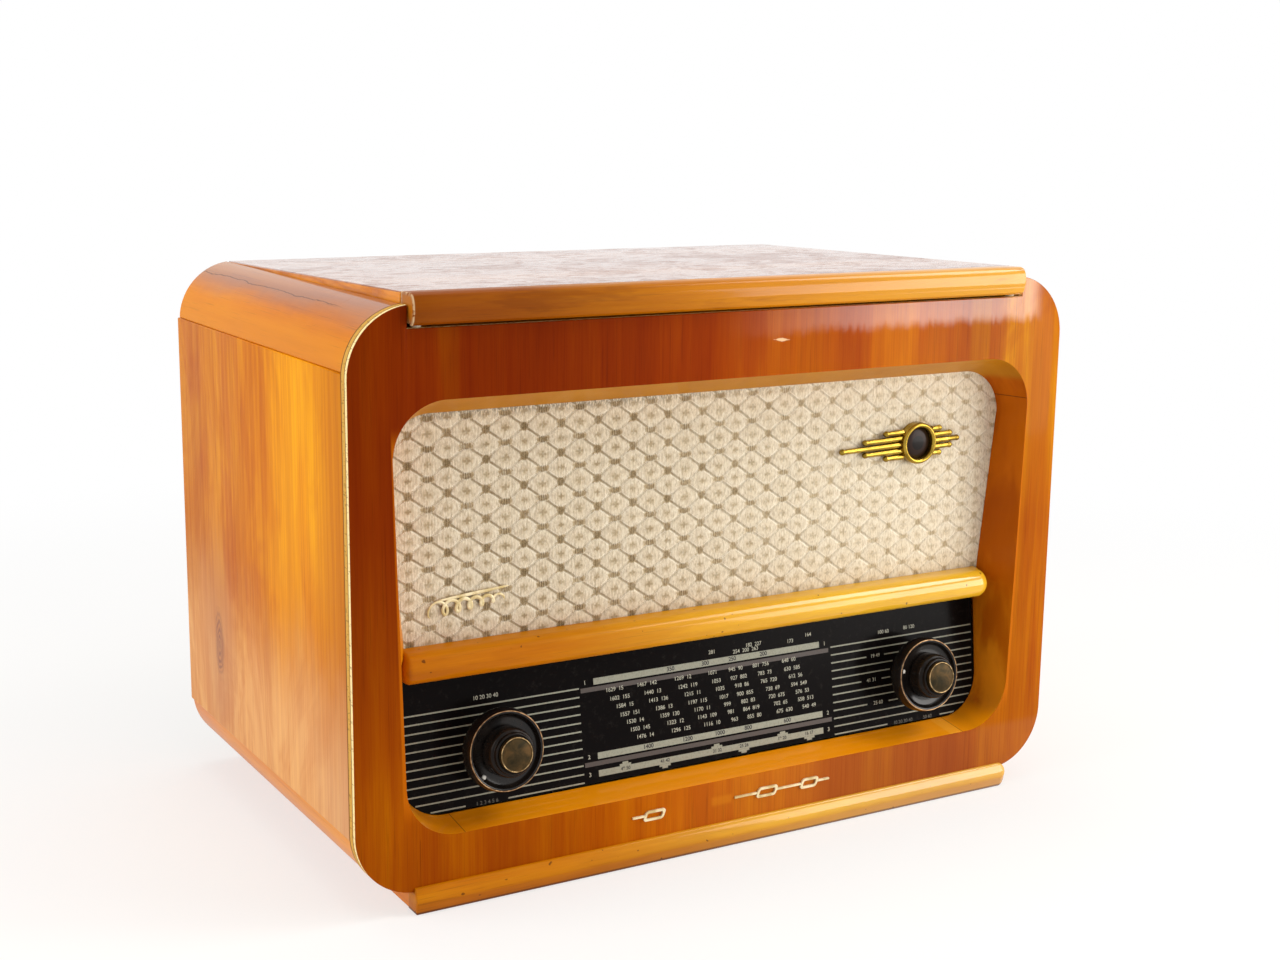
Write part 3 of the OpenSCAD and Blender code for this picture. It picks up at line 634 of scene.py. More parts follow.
def liner_finish(p, x, y, z, colour, rough):
    joint = abs(x).near(MITRE_X, 0.22, 0.15) * z.below(60, 2)
    joint = joint.bigger(z.near(SPLICE_Z, 0.25, 0.15) * x.above(200, 2))
    flame = p.noise(26, (1, 1, 0.25), 4, 0.6, 0.6)
    tongue = flame.above(0.5, 0.12)
    brown = p.mix(z.below(150, 60), p.mix(tongue, (0.34, 0.055, 0.001), (0.5, 0.11, 0.002)),
                  p.mix(tongue, (0.46, 0.1, 0.002), (0.78, 0.26, 0.01)))
    sill = z.below(58, 2)
    return p.coats(
        colour,
        (p.noise(16, (1, 1, 0.3), 3).above(0.5, 0.25) * 0.45, (0.46, 0.1, 0.002)),
        (x.above(203, 4) * 0.9, brown),
        (z.below(52, 4) * x.above(-170, 60) * 0.9, (0.95, 0.32, 0.002)),
        # Painted highlight: a light wedge on the sill just left of the mitre.
        (sill * x.between(MITRE_X - 10, MITRE_X, 1) * 0.25, (1, 0.52, 0.07)),
        (sill * x.between(MITRE_X, MITRE_X + 15, 4) * 0.3, (0.42, 0.14, 0.004)),
        (z.above(276, 3) * 0.85, p.mix(flame, (0.34, 0.12, 0.004), (0.56, 0.25, 0.02))),
        (joint * 0.8, (0.06, 0.02, 0.005))), rough, z.below(60, 6) * 0.35 + 0.04


liner_wood = wood("liner_lacquered", *GOLDEN, "z", 12, 0.3, 14, liner_finish, 0.04)
liner = np.concatenate([reveal, np.stack([at_depth(*row) for row in walk])])
skin("opening_liner_bevelled", liner, liner_wood, ("opening_liner",), wrap="uv", smooth=40)
print("liner", liner.shape)

# %% [markdown]
# A moulding is a profile carried along a straight line. Its ends are closed by shrinking the profile
# to its middle, and a rounded end shrinks it slowly, as a quarter circle does.

# %% Mouldings
def carried(profile, x0, x1, nose=0, place=metres, steps=24, heel=0):
    """A closed profile of (y, z) carried along x. Its size is 1 along the bar and falls as a cosine over
    the length of the heel at the left end and of the nose at the right end."""
    profile = np.asarray(profile, float)
    middle = profile.mean(0)
    t = np.radians(np.linspace(0, 90, 9))
    x = np.concatenate([x0 + heel * (1 - np.sin(t[::-1])), np.linspace(x0 + heel, x1 - nose, steps),
                        x1 - nose * (1 - np.sin(t))])
    size = np.concatenate([np.cos(t[::-1]), np.ones(steps), np.cos(t)])
    loop = middle + (profile - middle)[None] * size[:, None, None]
    return place(x[:, None], loop[..., 0], loop[..., 1])


def curve_through(points, per_span=6):
    """A smooth line through a few points: each span is a cubic whose ends lean like its neighbours."""
    P = np.asarray(points, float)
    lean = np.gradient(P, axis=0)
    t = np.linspace(0, 1, per_span, endpoint=False)[:, None]
    h = [2 * t**3 - 3 * t**2 + 1, t**3 - 2 * t**2 + t, 3 * t**2 - 2 * t**3, t**3 - t**2]
    spans = [h[0] * P[i] + h[1] * lean[i] + h[2] * P[i + 1] + h[3] * lean[i + 1] for i in range(len(P) - 1)]
    return np.concatenate(spans + [P[-1:]])


RAIL_FRONT = RAIL_LOW.y - FRONT / MM


def on_rail(x, y, z):
    """The rail's right end slants: its back reaches the reveal and its front stops short of it."""
    return metres(x + (y - RAIL_FRONT) * 0.45 * np.clip((x - 150) / 50, 0, 1), y, z)


rail_mid, rail_r = (RAIL_LOW.z + RAIL_HIGH.z) / 2, (RAIL_HIGH.z - RAIL_LOW.z) / 2
rail_back = [(CLOTH_Y - 0.2, RAIL_LOW.z), (CLOTH_Y - 0.2, RAIL_HIGH.z)]
rail_section = np.concatenate([corner_arc(RAIL_FRONT + rail_r, rail_mid, rail_r, 90, 270, 25), rail_back])
rail = carried(rail_section, -213.4, 202.5, nose=7, heel=5, place=on_rail)
skin("cross_rail_rounded", rail, bright_wood, ("cross_rail",))

foot_nose = curve_through([(-0.02, 15.4), (-1.6, 14.6), (-3.4, 11.4), (-4.3, 7.4)])
foot_back = [(-4.2, 6.2), (-3.7, 5.4), (-2.9, 0.9), (-2.2, 0.05), (9.2, 0.05), (9.2, 12.4), (-0.02, 12.4)]
foot = carried(np.concatenate([foot_nose, foot_back]), -213, 217.4, nose=5, heel=0.8)
skin("base_moulding_shaped", foot, bright_wood, ("base_moulding",))
print("rail and base moulding", rail.shape, foot.shape)

# %% [markdown]
# The lid stands a little proud at the front, so its pieces are drawn in the lid's own frame: y back
# from the hinge pin and z up from it, turned by the small angle at which the closed lid rests.

# %% Lid
LID_TOP = 12.7


def on_lid(x, y, z):
    """Points in the lid's frame, turned about the hinge pin by the angle of the closed lid."""
    back = HINGE_Y + y * math.cos(LID_RISE) + z * math.sin(LID_RISE)
    return metres(x, back, HINGE_Z - y * math.sin(LID_RISE) + z * math.cos(LID_RISE))


grip_nose = curve_through([(-299.5, LID_TOP), (-302.3, 11.2), (-304, 6.8), (-304.1, 2)])
grip_under = [(-303.5, 0.9), (-303.6, 0), (-302.6, -3.2), (-300.6, -4.6), (-299.2, -4.6), (-298, -3.7),
              (-293, -3.7), (-287.5, 1)]
grip_section = np.concatenate([[(-287.5, LID_TOP)], grip_nose, grip_under])
grip = carried(grip_section, -LID_HALF, LID_HALF, nose=2.2, heel=0.8, place=on_lid)
skin("lid_grip_moulding", grip, grip_wood, ("lid_moulding",), "lid")
rounded("lid_panel_veneered", "lid_panel", lid_wood, 0.8, "lid")
print("lid top at the front", round(float(on_lid(0, -304, LID_TOP)[2]) / MM, 1))

# %% [markdown]
# Side panels, corner mouldings, plinth and boards already have their true shape in the model. A real
# joiner breaks every sharp edge, so a merged copy of each gets a small bevel, which catches the light.

# %% Case panels
for side in ("left", "right"):
    rounded(f"side_veneer_{side}", f"side_panel_{side}", side_wood, 0.5)
    rounded(f"shoulder_{side}", f"corner_moulding_top_{side}", shoulder_wood, 0.5)
    rounded(f"lower_corner_{side}", f"corner_moulding_bottom_{side}", foot_wood, 0.5)
rounded("plinth_boards", "plinth_frame", foot_wood, 0.6)
rounded("rear_rail", "rear_frame", bare_wood, 0.6)

# %% [markdown]
# The speaker cloth is woven in lozenges. In the sums a = x/p + z/q and b = x/p - z/q the lozenges are a
# square grid: their centres sit at whole numbers and their edges half way between. The weave bulges in
# each lozenge, so the surface itself does, and the threads are drawn with the same two sums.

# %% Speaker cloth
LOZENGE_W, LOZENGE_H, LOZENGE_Z = 23.9, 17.05, 216.5
cloth_low, cloth_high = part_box("speaker_cloth")


def hill(a):
    """1 at every whole number, falling as a parabola to 0 half way between: 1 minus 4 times the square
    of the distance to the nearest whole number."""
    return 1 - 4 * (a - np.round(a)) ** 2


x = np.linspace(cloth_low.x, cloth_high.x, 380) / MM
z = np.linspace(cloth_low.z, cloth_high.z, 120)[:, None] / MM
across, up = x / LOZENGE_W, (z - LOZENGE_Z) / LOZENGE_H
weave = metres(x, CLOTH_Y + 0.45 - 0.4 * hill(across + up) * hill(across - up), z)


def fold(t):
    """A wire's distance from the nearest whole number, -0.5 to 0.5."""
    return (t + 0.5).math("FLOORED_MODULO", 1) - 0.5


def flower(across, up, half_w, half_h, grit):
    """The place in an oval, 1 at its edge, with thirteen shallow lobes and fine teeth; and the teeth."""
    ray = up.math("ARCTAN2", across)
    teeth = (ray * 44).sine()
    return reach(across / half_w, up / half_h) + (ray * 13).sine() * 0.035 + teeth * 0.05 + grit * 0.16, teeth


def cross(across, up, *arms):
    """A plus of two strokes; arms holds the half length and half width of the upright and the level one."""
    (tall, thick), (wide, thin) = arms
    upright = abs(across).below(thick, 0.02) * abs(up).below(tall, 0.03)
    return upright.bigger(abs(across).below(wide, 0.03) * abs(up).below(thin, 0.02))


def cloth_paint():
    p = Paint("speaker_cloth_woven")
    x, y, z = p.axes()
    slack = p.noise(24, detail=2) * 1.4 - 0.7
    u, w = (x + slack) / LOZENGE_W, (z + slack * 0.5 - LOZENGE_Z) / LOZENGE_H
    fu, fw, gu, gw = fold(u), fold(w), fold(u + 0.5), fold(w + 0.5)
    lumps, spot = p.noise(420, (1, 1, 0.4), 3, 0.7), p.noise(2400, detail=1)
    flecks, threads = p.noise(760, (1, 1, 0.4), 2, 0.6), p.noise(1500, (1, 1, 0.3), 2, 0.6)
    cell = p.node("ShaderNodeCombineXYZ", feeds={0: (u * 2).math("ROUND"), 1: (w * 2).math("ROUND")})
    luck = p.node("ShaderNodeTexWhiteNoise", {"noise_dimensions": "2D"}, {"Vector": cell})
    # Painted light, with a paler weave: the right part of the cloth is painted lighter, as lit more strongly,
    # and its painted highlights beside the ropes stronger; its knots are also smaller and lighter, and its
    # dark lines and marks fainter.
    right_lit_and_paler = x.above(20, 150)
    large, large_teeth = flower(fu, fw, 0.4, 0.43, spot - 0.5)
    small, small_teeth = flower(gu, gw, 0.33, 0.36, spot - 0.5)
    medallion = large.smaller(small)
    teeth = large_teeth * large.below(1.2, 0.1) + small_teeth * small.below(1.2, 0.1)
    petal = medallion.below(0.97, 0.08) * (medallion.above(0.4, 0.2) * 0.4 + 0.34) * (teeth * 0.15 + 0.85)
    plus = cross(fu, fw, (0.11, 0.03), (0.1, 0.04)).bigger(cross(gu, gw, (0.08, 0.025), (0.08, 0.035)))
    round_knot = reach(gu / 0.1, fw / 0.14) + right_lit_and_paler * 0.2
    bar_knot = reach(fu / 0.15, gw / 0.11) + right_lit_and_paler * 0.2
    open_rope = bar_knot.above(1.25, 0.25) * round_knot.above(1.2, 0.25)
    rope = abs(fu) + abs(fw) + (spot - 0.5) * 0.07
    line, shine = rope.near(0.5, 0.045, 0.035), rope.near(0.58, 0.012, 0.03) * open_rope
    falling = (fu * fw).above(0, 0.004)
    bars = abs(fold(u * 16)).above(0.2, 0.12)
    weft, warp = abs(fold(z * 1.4)), abs(fold(x * 1.05))
    # Painted shadow: dark thread-like strokes along the cloth's top edge under the top reveal, on the left
    # part only.
    reveal_shadow = z.above(276, 3) * threads.above(0.48, 0.05) * x.below(20, 120)
    cream = p.ramp(lumps, [(0.3, (0.36, 0.26, 0.135)), (0.5, (0.56, 0.43, 0.25)), (0.68, (0.72, 0.58, 0.37))])
    knot = p.ramp(spot, [(0.4, (0.09, 0.06, 0.022)), (0.62, (0.32, 0.225, 0.11))])
    knot = p.mix(right_lit_and_paler * 0.3, knot, (0.48, 0.33, 0.14))
    knot_share = 1 - right_lit_and_paler * 0.35
    colour = p.coats(
        cream,
        (p.noise(11, detail=3).above(0.55, 0.14) * 0.2, (0.42, 0.28, 0.14)),
        (right_lit_and_paler * 0.62, (0.92, 0.8, 0.58)),
        (petal, (0.93, 0.85, 0.69)),
        (medallion.near(0.91, 0.02, 0.08) * 0.6, (1, 0.95, 0.83)),
        (flecks.above(0.57, 0.05) * 0.4, (1, 0.94, 0.8)),
        (flecks.below(0.43, 0.05) * 0.3, (0.36, 0.26, 0.14)),
        (threads.above(0.54, 0.08) * 0.35, (0.66, 0.6, 0.5), TINT),
        (reveal_shadow * 0.6, (0.12, 0.1, 0.08)),
        (plus * (0.4 + luck * 0.3) * (1 - right_lit_and_paler * 0.5), (0.26, 0.18, 0.08)),
        (warp.above(0.34, 0.08) * 0.3, (0.36, 0.27, 0.16)),
        (line * open_rope * (falling * 0.52 + 0.18 + luck * 0.15) * (1 - right_lit_and_paler * 0.7), (0.26, 0.18, 0.085)),
        (shine * (falling * 0.3 + 0.25 + right_lit_and_paler * 0.4), (1, 0.93, 0.78)),
        (bar_knot.below(1, 0.25) * (bars * 0.5 + 0.45) * (0.6 + luck * 0.4) * knot_share, knot),
        (round_knot.below(1, 0.25) * (bars * 0.25 + 0.4 + luck * 0.35) * knot_share, knot))
    height = weft * 0.4 + warp * 0.4 + lumps * 0.5 + medallion.below(0.95, 0.15) * 0.5 - line * 0.4
    return p.finish(colour, 0.82 + lumps * 0.1, p.bump(height, 0.0008, 0.8), specular_ior_level=0.2,
                    sheen_weight=0.1)


cloth = skin("speaker_cloth_weave", weave, cloth_paint(), ("speaker_cloth",), wrap="")
print("lozenges across", round((x[-1] - x[0]) / LOZENGE_W, 1))

# %% [markdown]
# The gilt badge round the tuning eye is a dished ring with five plain rods to each side. Rods and ring
# are turned shapes: a radius that changes along an axis, swept round it.

# %% Badge of the tuning eye
def turned(profile, place, segments=64):
    """A profile of (radius, height) swept round an axis: place() gets both cross coordinates, then the
    height."""
    profile = np.asarray(profile, float)
    a = np.linspace(0, 2 * np.pi, segments, endpoint=False)
    r, h = profile[:, :1], profile[:, 1:]
    return place(r * np.cos(a), r * np.sin(a), h)


EYE_X, EYE_Z = 151.5, 237.5
BADGE_LEFT, BADGE_LOW, BADGE_TILT = 1.5, 1.7, 0.026


def at_eye(u, w, depth):
    """Points across, up and behind the front face, counted from the middle of the eye."""
    return metres(EYE_X + u, depth, EYE_Z + w)


def on_badge(u, w, depth):
    """The badge was fixed by hand, a little low on its left: its height grows slowly with its width."""
    return at_eye(u - BADGE_LEFT - w * BADGE_TILT, w - BADGE_LOW + u * BADGE_TILT, depth)


def worn(name, stops, scale, rough, spread, relief=None, grain=(), **constants):
    """A finish whose tone and roughness follow one noise. relief is its bump's depth and strength, and
    grain the noise's detail, roughness and distortion."""
    p = Paint(name)
    wear = p.noise(scale, (1, 1, 1), *grain)
    normal = p.bump(wear, *relief) if relief else None
    return p.finish(p.ramp(wear, stops), rough + wear * spread, normal, **constants)


gilt_tones = [(0.3, (0.22, 0.135, 0.016)), (0.6, (0.42, 0.28, 0.04)), (0.75, (0.56, 0.39, 0.09))]
gilt = worn("gilt_brass", gilt_tones, 140, 0.14, 0.16, (0.00005, 0.2), metal=0.95)
t = np.radians(np.linspace(0, 180, 13))
ring = np.stack([11.8 + 1.7 * np.cos(t), 20.2 - 2.2 * np.sin(t)], -1)
ring = np.concatenate([[(13.5, CLOTH_Y + 0.3)], ring, [(10.1, CLOTH_Y + 0.3)]])
badge = [turned(ring, on_badge)]
ROD_ENDS = ((61.5, 35), (43.5, 29), (27, 20.5))
for step in range(-2, 3):
    for side, end in zip((-1, 1), ROD_ENDS[abs(step)]):
        rod = [(0, end - 0.1), (1.1, end - 0.5), (1.95, end - 1.7), (2, end - 2.6), (1.6, end - 4),
               (1.7, end - 8), (1.95, 11.5), (0, 11.4)]
        badge.append(turned(rod, lambda u, w, h: on_badge(side * h, step * 4 + w, 22.4 + u), 16))
skin("magic_eye_badge", badge, gilt, ("magic_eye_bezel",), smooth=50)
print("parts of the badge", len(badge))

# %% [markdown]
# The other gilt trims are a looped scroll of bent wire on the cloth and, on the low rail, three open
# frames joined by short bars. A wire is a ring of points carried along a curve, always square to it. A
# frame is two outlines, one inside the other, walked front and back.

# %% Gilt trims
TRIM_Y = CLOTH_Y - 0.9
FRAME_FOOT, FRAME_W, FRAME_LEAN = 26.6, 1.5, 0.35
LOOPS = 6


def bent_rod(x, z, radius, depth):
    """A rod that follows a line across the front: its rings stand square to the line."""
    lean = np.stack([np.gradient(x), np.gradient(z)], -1)
    lean /= np.linalg.norm(lean, axis=1, keepdims=True)
    a = np.radians(np.linspace(0, 360, 10, endpoint=False))
    wide, deep = radius[:, None] * np.cos(a), radius[:, None] * np.sin(a) * 0.6
    return metres(x[:, None] - wide * lean[:, 1:], depth + deep, z[:, None] + wide * lean[:, :1])


def plaque(x0, x1, high):
    """A plain open frame with round corners, lying on the front face and leaning to the right."""
    half = (x1 - x0) / 2
    wide = opening(half, half, FRAME_FOOT, high, 2)
    thin = opening(half - FRAME_W, half - FRAME_W, FRAME_FOOT + FRAME_W, high - FRAME_W, 1)
    for ring in (wide, thin):
        ring[:, 0] += (x0 + x1) / 2 + (ring[:, 1] - FRAME_FOOT) * FRAME_LEAN
    walk = [(wide, -0.1), (wide, -1.3), (thin, -1.3), (thin, -0.1), (wide, -0.1)]
    return np.stack([at_depth(*row) for row in walk])


t = np.linspace(0, 1, 220)
wire_r, shrink, turns = 1.1 * np.sin(np.pi * t) ** 0.3, 1 - 0.62 * t, 2 * np.pi * LOOPS * t
scroll_x = -191 + 46 * t**0.9 - 3.6 * shrink * np.sin(turns)
scroll_z = 167.5 + 3 * t - 4.4 * shrink * np.cos(turns)
trims = [bent_rod(scroll_x, scroll_z, wire_r, TRIM_Y)]
trims += [bent_rod(-186 + 44 * t, 172.6 + 3.6 * t, wire_r * 0.9, TRIM_Y)]
bar_section = [(-1.1, 29.3), (-1.1, 30.4), (-0.1, 30.6), (-0.1, 29.1)]
bar_ends = ((-72, -63.6), (0.6, 17.4), (31.3, 50.4), (62.3, 72))
trims += [carried(bar_section, x0, x1, nose=0.5, steps=4) for x0, x1 in bar_ends]
trims += [plaque(-65, -51, 32.8), plaque(16, 30.5, 33), plaque(49, 61.5, 33)]
cream_tones = [(0.4, (0.6, 0.46, 0.2)), (0.6, (0.86, 0.75, 0.48))]
cream_gilt = worn("cream_gilt", cream_tones, 120, 0.4, 0.2, metal=0.2)
skin("gilt_trim_strips", trims, cream_gilt, ("gilt_trims",))
print("parts of the trims", len(trims))

# %% [markdown]
# The tuning eye is a small valve whose domed top looks out through the badge. It is unlit here: a
# nearly black disc with a slightly redder rim round it. Dome and neck are turned shapes.

# %% Tuning eye
def eye_paint():
    p = Paint("tuning_eye_glass")
    x, y, z = p.axes()
    radius = reach(x - EYE_X + BADGE_LEFT, z - EYE_Z + BADGE_LOW)
    colour = p.mix(radius.below(4.6, 0.3), (0.026, 0.012, 0.008), (0.009, 0.006, 0.005))
    dust = p.noise(300, detail=2)
    return p.finish(colour, 0.3 + dust * 0.1, coat_weight=0.08, coat_roughness=0.1, specular_ior_level=0.1)


dome = [(10, 30), (10, 22.4), (9.4, 21.8), (7, 21.3), (4.8, 21.05), (2.4, 20.9), (0, 20.85)]
neck = [(0, 30), (13.9, 36.1), (13.9, 68), (11, 70), (0, 70)]
eye = [turned(dome, on_badge), turned(neck, at_eye)]
skin("magic_eye_valve", eye, eye_paint(), ("magic_eye_tube",))
print("tuning eye", eye[0].shape)

# %% [markdown]
# Dial glass is painted black behind, so it shows deep, glossy black. The print is raised a few
# hundredths of a millimetre: pale lines at both sides, three pale scales in the middle, and plain
# numbers. All the print lies on the leaning plane. The lines stop short of the knobs and of the words.

# %% Dial glass and its lines
PRINT_W = 0.05
SCALE_V = (66.2, 21, 10.2)
LINE_ROWS, LINE_TOP, LINE_STEP = 12, 63.3, 5.2
KNOB_CLEAR = 13
GLASS_HALF, GLASS_R, GLASS_R_TOP = 210, 26, 30.8
# where words interrupt the lines, by row
BREAKS = {2: ((121.5, 136), (-139.5, -133)), 5: ((116.5, 133),), 8: ((120.5, 138),),
          11: ((136, 180), (-170, -142.5))}


def glass_paint():
    p = Paint("dial_glass_black")
    dust = p.noise(240, detail=4, rough=0.7)
    smear = p.noise(14, (1, 1, 3), 2)
    colour = p.mix(dust.above(0.6, 0.08) * 0.2, (0.005, 0.004, 0.004), (0.03, 0.026, 0.022))
    return p.finish(colour, 0.12 + smear * 0.14 + dust.above(0.66, 0.05) * 0.2, specular_ior_level=0.03)


def print_paint(name, light, dark):
    p = Paint(name)
    wear = p.noise(900, detail=3, rough=0.7)
    return p.finish(p.mix(wear.above(0.56, 0.12) * 0.6, light, dark), 0.4 + wear * 0.2)


def strip(x0, x1, v0, v1):
    """A flat strip of print between two points across and two heights up the glass."""
    return on_dial(np.array([[x0, x1], [x0, x1]]), np.array([[v0, v0], [v1, v1]]), PRINT_W)


def half_width(v):
    """Half width of the glass at a height: its foot has round corners."""
    if v > GLASS_R_TOP:
        return GLASS_HALF
    return GLASS_HALF - GLASS_R + math.sqrt(GLASS_R**2 - (GLASS_R_TOP - v) ** 2)


def left_over(x0, x1, gaps):
    """The lengths that are left of a line between x0 and x1 when the gaps are taken out of it."""
    kept = [(min(x0, x1), max(x0, x1))]
    for low, high in gaps:
        split = [span for a, b in kept for span in ((a, min(b, low)), (max(a, high), b))]
        kept = [(a, b) for a, b in split if b - a > 0.5]
    return kept


lines = []
for row in range(LINE_ROWS):
    v = LINE_TOP - LINE_STEP * row
    clear = math.sqrt(max(0, KNOB_CLEAR**2 - (v - KNOB_V) ** 2))
    end = half_width(v) - (0.8 if clear else 0)
    for side, start in ((-1, 91.6), (1, 93.2)):
        knob_gap = ((side * KNOB_X - clear, side * KNOB_X + clear),) if clear else ()
        spans = left_over(side * start, side * end, BREAKS.get(row, ()) + knob_gap)
        lines += [strip(a, b, v - 0.45, v + 0.45) for a, b in spans]
lines += [strip(-81.6, 84.3, v - 1.95, v + 1.95) for v in SCALE_V]
for low, step, places in ((12.1, 1.3, (-63, 2.8, 52.6)), (6.9, -1.2, (-35.3, 22.7, 73.1))):
    for x in places:
        lines += [strip(x - 4, x + 4, low, low + 1.3), strip(x - 2, x + 2, low + step, low + step + 1.2)]
slots = [strip(-90.6, 91.4, v - 1.4, v + 1.4) for v in (61.7, 16.5)]
rounded("dial_glass_plate", "dial_glass", glass_paint(), 0.3)
pale_print = print_paint("print_pale_green", (0.3, 0.31, 0.24), (0.2, 0.2, 0.15))
brown_print = print_paint("print_brown", (0.055, 0.038, 0.03), (0.035, 0.025, 0.02))
skin("dial_lines", lines, pale_print, wrap="")
skin("dial_slots", slots, brown_print, wrap="")
print("strips of print", len(lines) + len(slots))

# %% [markdown]
# Numbers come from text curves. Each is evaluated to a mesh, its points are moved onto the dial plane,
# and all of one colour are joined into one piece. The columns of figures follow a rule: each is the
# frequency that the scale shows at its place.

# %% Dial numbers
def figures(name, words, bold, light, dark):
    """Plain numbers as one mesh: words holds (text, x, v, size in mm), and bold widens the strokes."""
    points, faces, start = [], [], 0
    for text, x, v, size in words:
        curve = bpy.data.curves.new("figure", "FONT")
        curve.body, curve.size, curve.align_x, curve.align_y = text, size, "CENTER", "CENTER"
        curve.offset = bold * size
        shape = bpy.data.objects.new("figure", curve)
        bpy.context.scene.collection.objects.link(shape)
        solid = shape.evaluated_get(bpy.context.evaluated_depsgraph_get()).to_mesh()
        flat = np.empty(len(solid.vertices) * 3)
        solid.vertices.foreach_get("co", flat)
        flat = flat.reshape(-1, 3)
        points.append(on_dial(x + flat[:, 0], v + flat[:, 1], PRINT_W + 0.03))
        faces += [[start + i for i in face.vertices] for face in solid.polygons]
        start += len(flat)
        bpy.data.objects.remove(shape)
        bpy.data.curves.remove(curve)
    mesh = bpy.data.meshes.new(f"dial_figures_{name}")
    mesh.from_pydata(np.concatenate(points).tolist(), [], faces)
    settle(mesh.name, mesh, print_paint(f"print_{name}", light, dark))
    print("figures", name, len(words))


def scale_number(x):
    """The number that the middle scale shows at x: 1400 at -46 mm, falling by 7.77 a millimetre."""
    return str(int(round((1400 - (x + 46) * 7.77) / 9)) * 9)


def at_size(size, *words):
    """Words of (text, x, v), with their size."""
    return [(*word, size) for word in words]


def at_height(v, size, *words):
    """Words of (text, x), with their height up the glass and their size."""
    return [(text, x, v, size) for text, x in words]


ROW_V = (59.6, 54, 48.8, 43.3, 38.2, 33.1, 27.9)
FIRST_X = (-75.6, -55.2, -29.2, -4, 12.5, 30.6, 50.9, 74)
LAST_X = (-56.2, -32.9, -9.9, 10.5, 24.7, 46.9, 64.9)
light_words = []
for row, v in enumerate(ROW_V):
    for column, last in enumerate(LAST_X):
        first, room = FIRST_X[column], FIRST_X[column + 1] - FIRST_X[column]
        x = first + (last - first) * row / 6
        second = "  " + scale_number(x + 6)[:2 + (row + column) % 2] if room > 17.5 else ""
        light_words.append((scale_number(x) + second, x + 0.4 * room, v, 3.5))
light_words += [(str(row + 1), x, v, 3.6) for x in (-87.5, 88.5) for row, v in enumerate(SCALE_V)]
light_words += at_size(
    3.4, ("281", 3, 72.5), ("182  227", 34, 73.2), ("254  200  263", 28, 70.4), ("173", 62, 71.5),
    ("164", 76, 73.8), ("10 20 30 40", -153, 67.8), ("19 49", 128.7, 52.9), ("41 31", 124.8, 37.3),
    ("25 60", 129.3, 21.7), ("6", -136.3, 52.9), ("100 60", 136.1, 67.8), ("80 120", 157.4, 68.2))
dark_words = at_height(66.2, 3.7, ("350", -27.5), ("300", -2.3), ("250", 17.7), ("200", 41.1))
dark_words += at_height(
    21.1, 3.7, ("1400", -46.3), ("1200", -18.1), ("1000", 5.6), ("800", 26.8), ("600", 56.7))
dark_words += at_height(
    10.3, 2.9, ("49 50", -63), ("41 42", -35), ("31 32", 3), ("25 26", 23), ("19 20", 52), ("16 17", 73))
dim_words = at_height(6.1, 3.3, ("1 2 3 4 5 6", -156.2), ("10 20 30 40", 149), ("50 60", 169.5))
figures("light", light_words, 0.008, (0.46, 0.46, 0.37), (0.26, 0.26, 0.2))
figures("dark", dark_words, 0.03, (0.012, 0.01, 0.008), (0.03, 0.026, 0.02))
figures("dim", dim_words, 0.008, (0.1, 0.1, 0.08), (0.04, 0.04, 0.03))

# %% [markdown]
# Each pair of controls is two knobs on one shaft: a broad dished knob behind and a stepped boss in
# front, both of dark pressed bakelite. The broad knob's rim has a thin copper line, the boss an aged
# brass cap, and a white dot on the broad knob shows where it points. All of it is turned on a lathe,
# so every part is a profile of radius and height out of the glass, swept round the shaft.

# %% Knobs
def bakelite_paint(name, colour, worn_colour, shine):
    p = Paint(name)
    swirl = p.noise(60, detail=4, rough=0.6, distort=1.5)
    dust = p.noise(1400, detail=2)
    tone = p.ramp(swirl, [(0.35, colour), (0.65, worn_colour)])
    return p.finish(tone, 0.14 + swirl * 0.12, p.bump(dust, 0.00003, 0.1), specular_ior_level=shine)


black_bakelite = bakelite_paint("bakelite_black", (0.006, 0.005, 0.005), (0.014, 0.01, 0.008), 0.3)
brown_bakelite = bakelite_paint("bakelite_brown", (0.006, 0.005, 0.004), (0.016, 0.01, 0.007), 0.12)
cap_tones = [(0.36, (0.02, 0.015, 0.006)), (0.54, (0.05, 0.031, 0.011)), (0.72, (0.09, 0.048, 0.016))]
brass_cap = worn("aged_brass_cap", cap_tones, 130, 0.3, 0.25, (0.0002, 0.3), (4, 0.6, 0.6), metal=0.6,
                 specular_ior_level=0.15)
copper, worn_edge = (
    worn(name, [(0.4, dull), (0.6, bright)], 300, 0.25, 0.2, metal=0.9) for name, dull, bright in (
        ("copper_rim", (0.2, 0.105, 0.05), (0.46, 0.28, 0.14)),
        ("brass_cap_edge", (0.16, 0.1, 0.04), (0.5, 0.34, 0.16))))
chalk = print_paint("chalk_dot", (0.8, 0.78, 0.72), (0.6, 0.56, 0.5))

rim, dish, drum, ledge, cap = (curve_through(points, 4) for points in (
    [(4.8, 11), (11, 12.2), (19, 13.2), (23.4, 15.2), (24.4, 17.6), (24.2, 20.4), (23.2, 24.4)],
    [(22.5, 25), (21.5, 24.6), (20.1, 22.4), (17.8, 21.7), (14, 21.6), (3.1, 21.6)],
    [(13.9, 22.4), (14.6, 23.2), (14.7, 27), (14.3, 30.6), (13.4, 32.4), (12.7, 32.7)],
    [(12.3, 33.1), (12.1, 34.6), (11.7, 35.2), (11, 35.3)],
    [(10.2, 35), (10.2, 36.9), (9.8, 37.5), (8.9, 37.4), (8.1, 37.5), (5, 37.9), (0, 38.1)]))
FLANGE = np.concatenate([[(3.1, -14), (4.8, -14)], rim, dish, [(3.1, -14)]])
BOSS = np.concatenate([[(0, -24), (3, -24), (3, 22.3)], drum, ledge, [(10.6, 34.8), (0, 34.8)]])
CAP = np.concatenate([cap[::-1], [(0, 34.9)]])
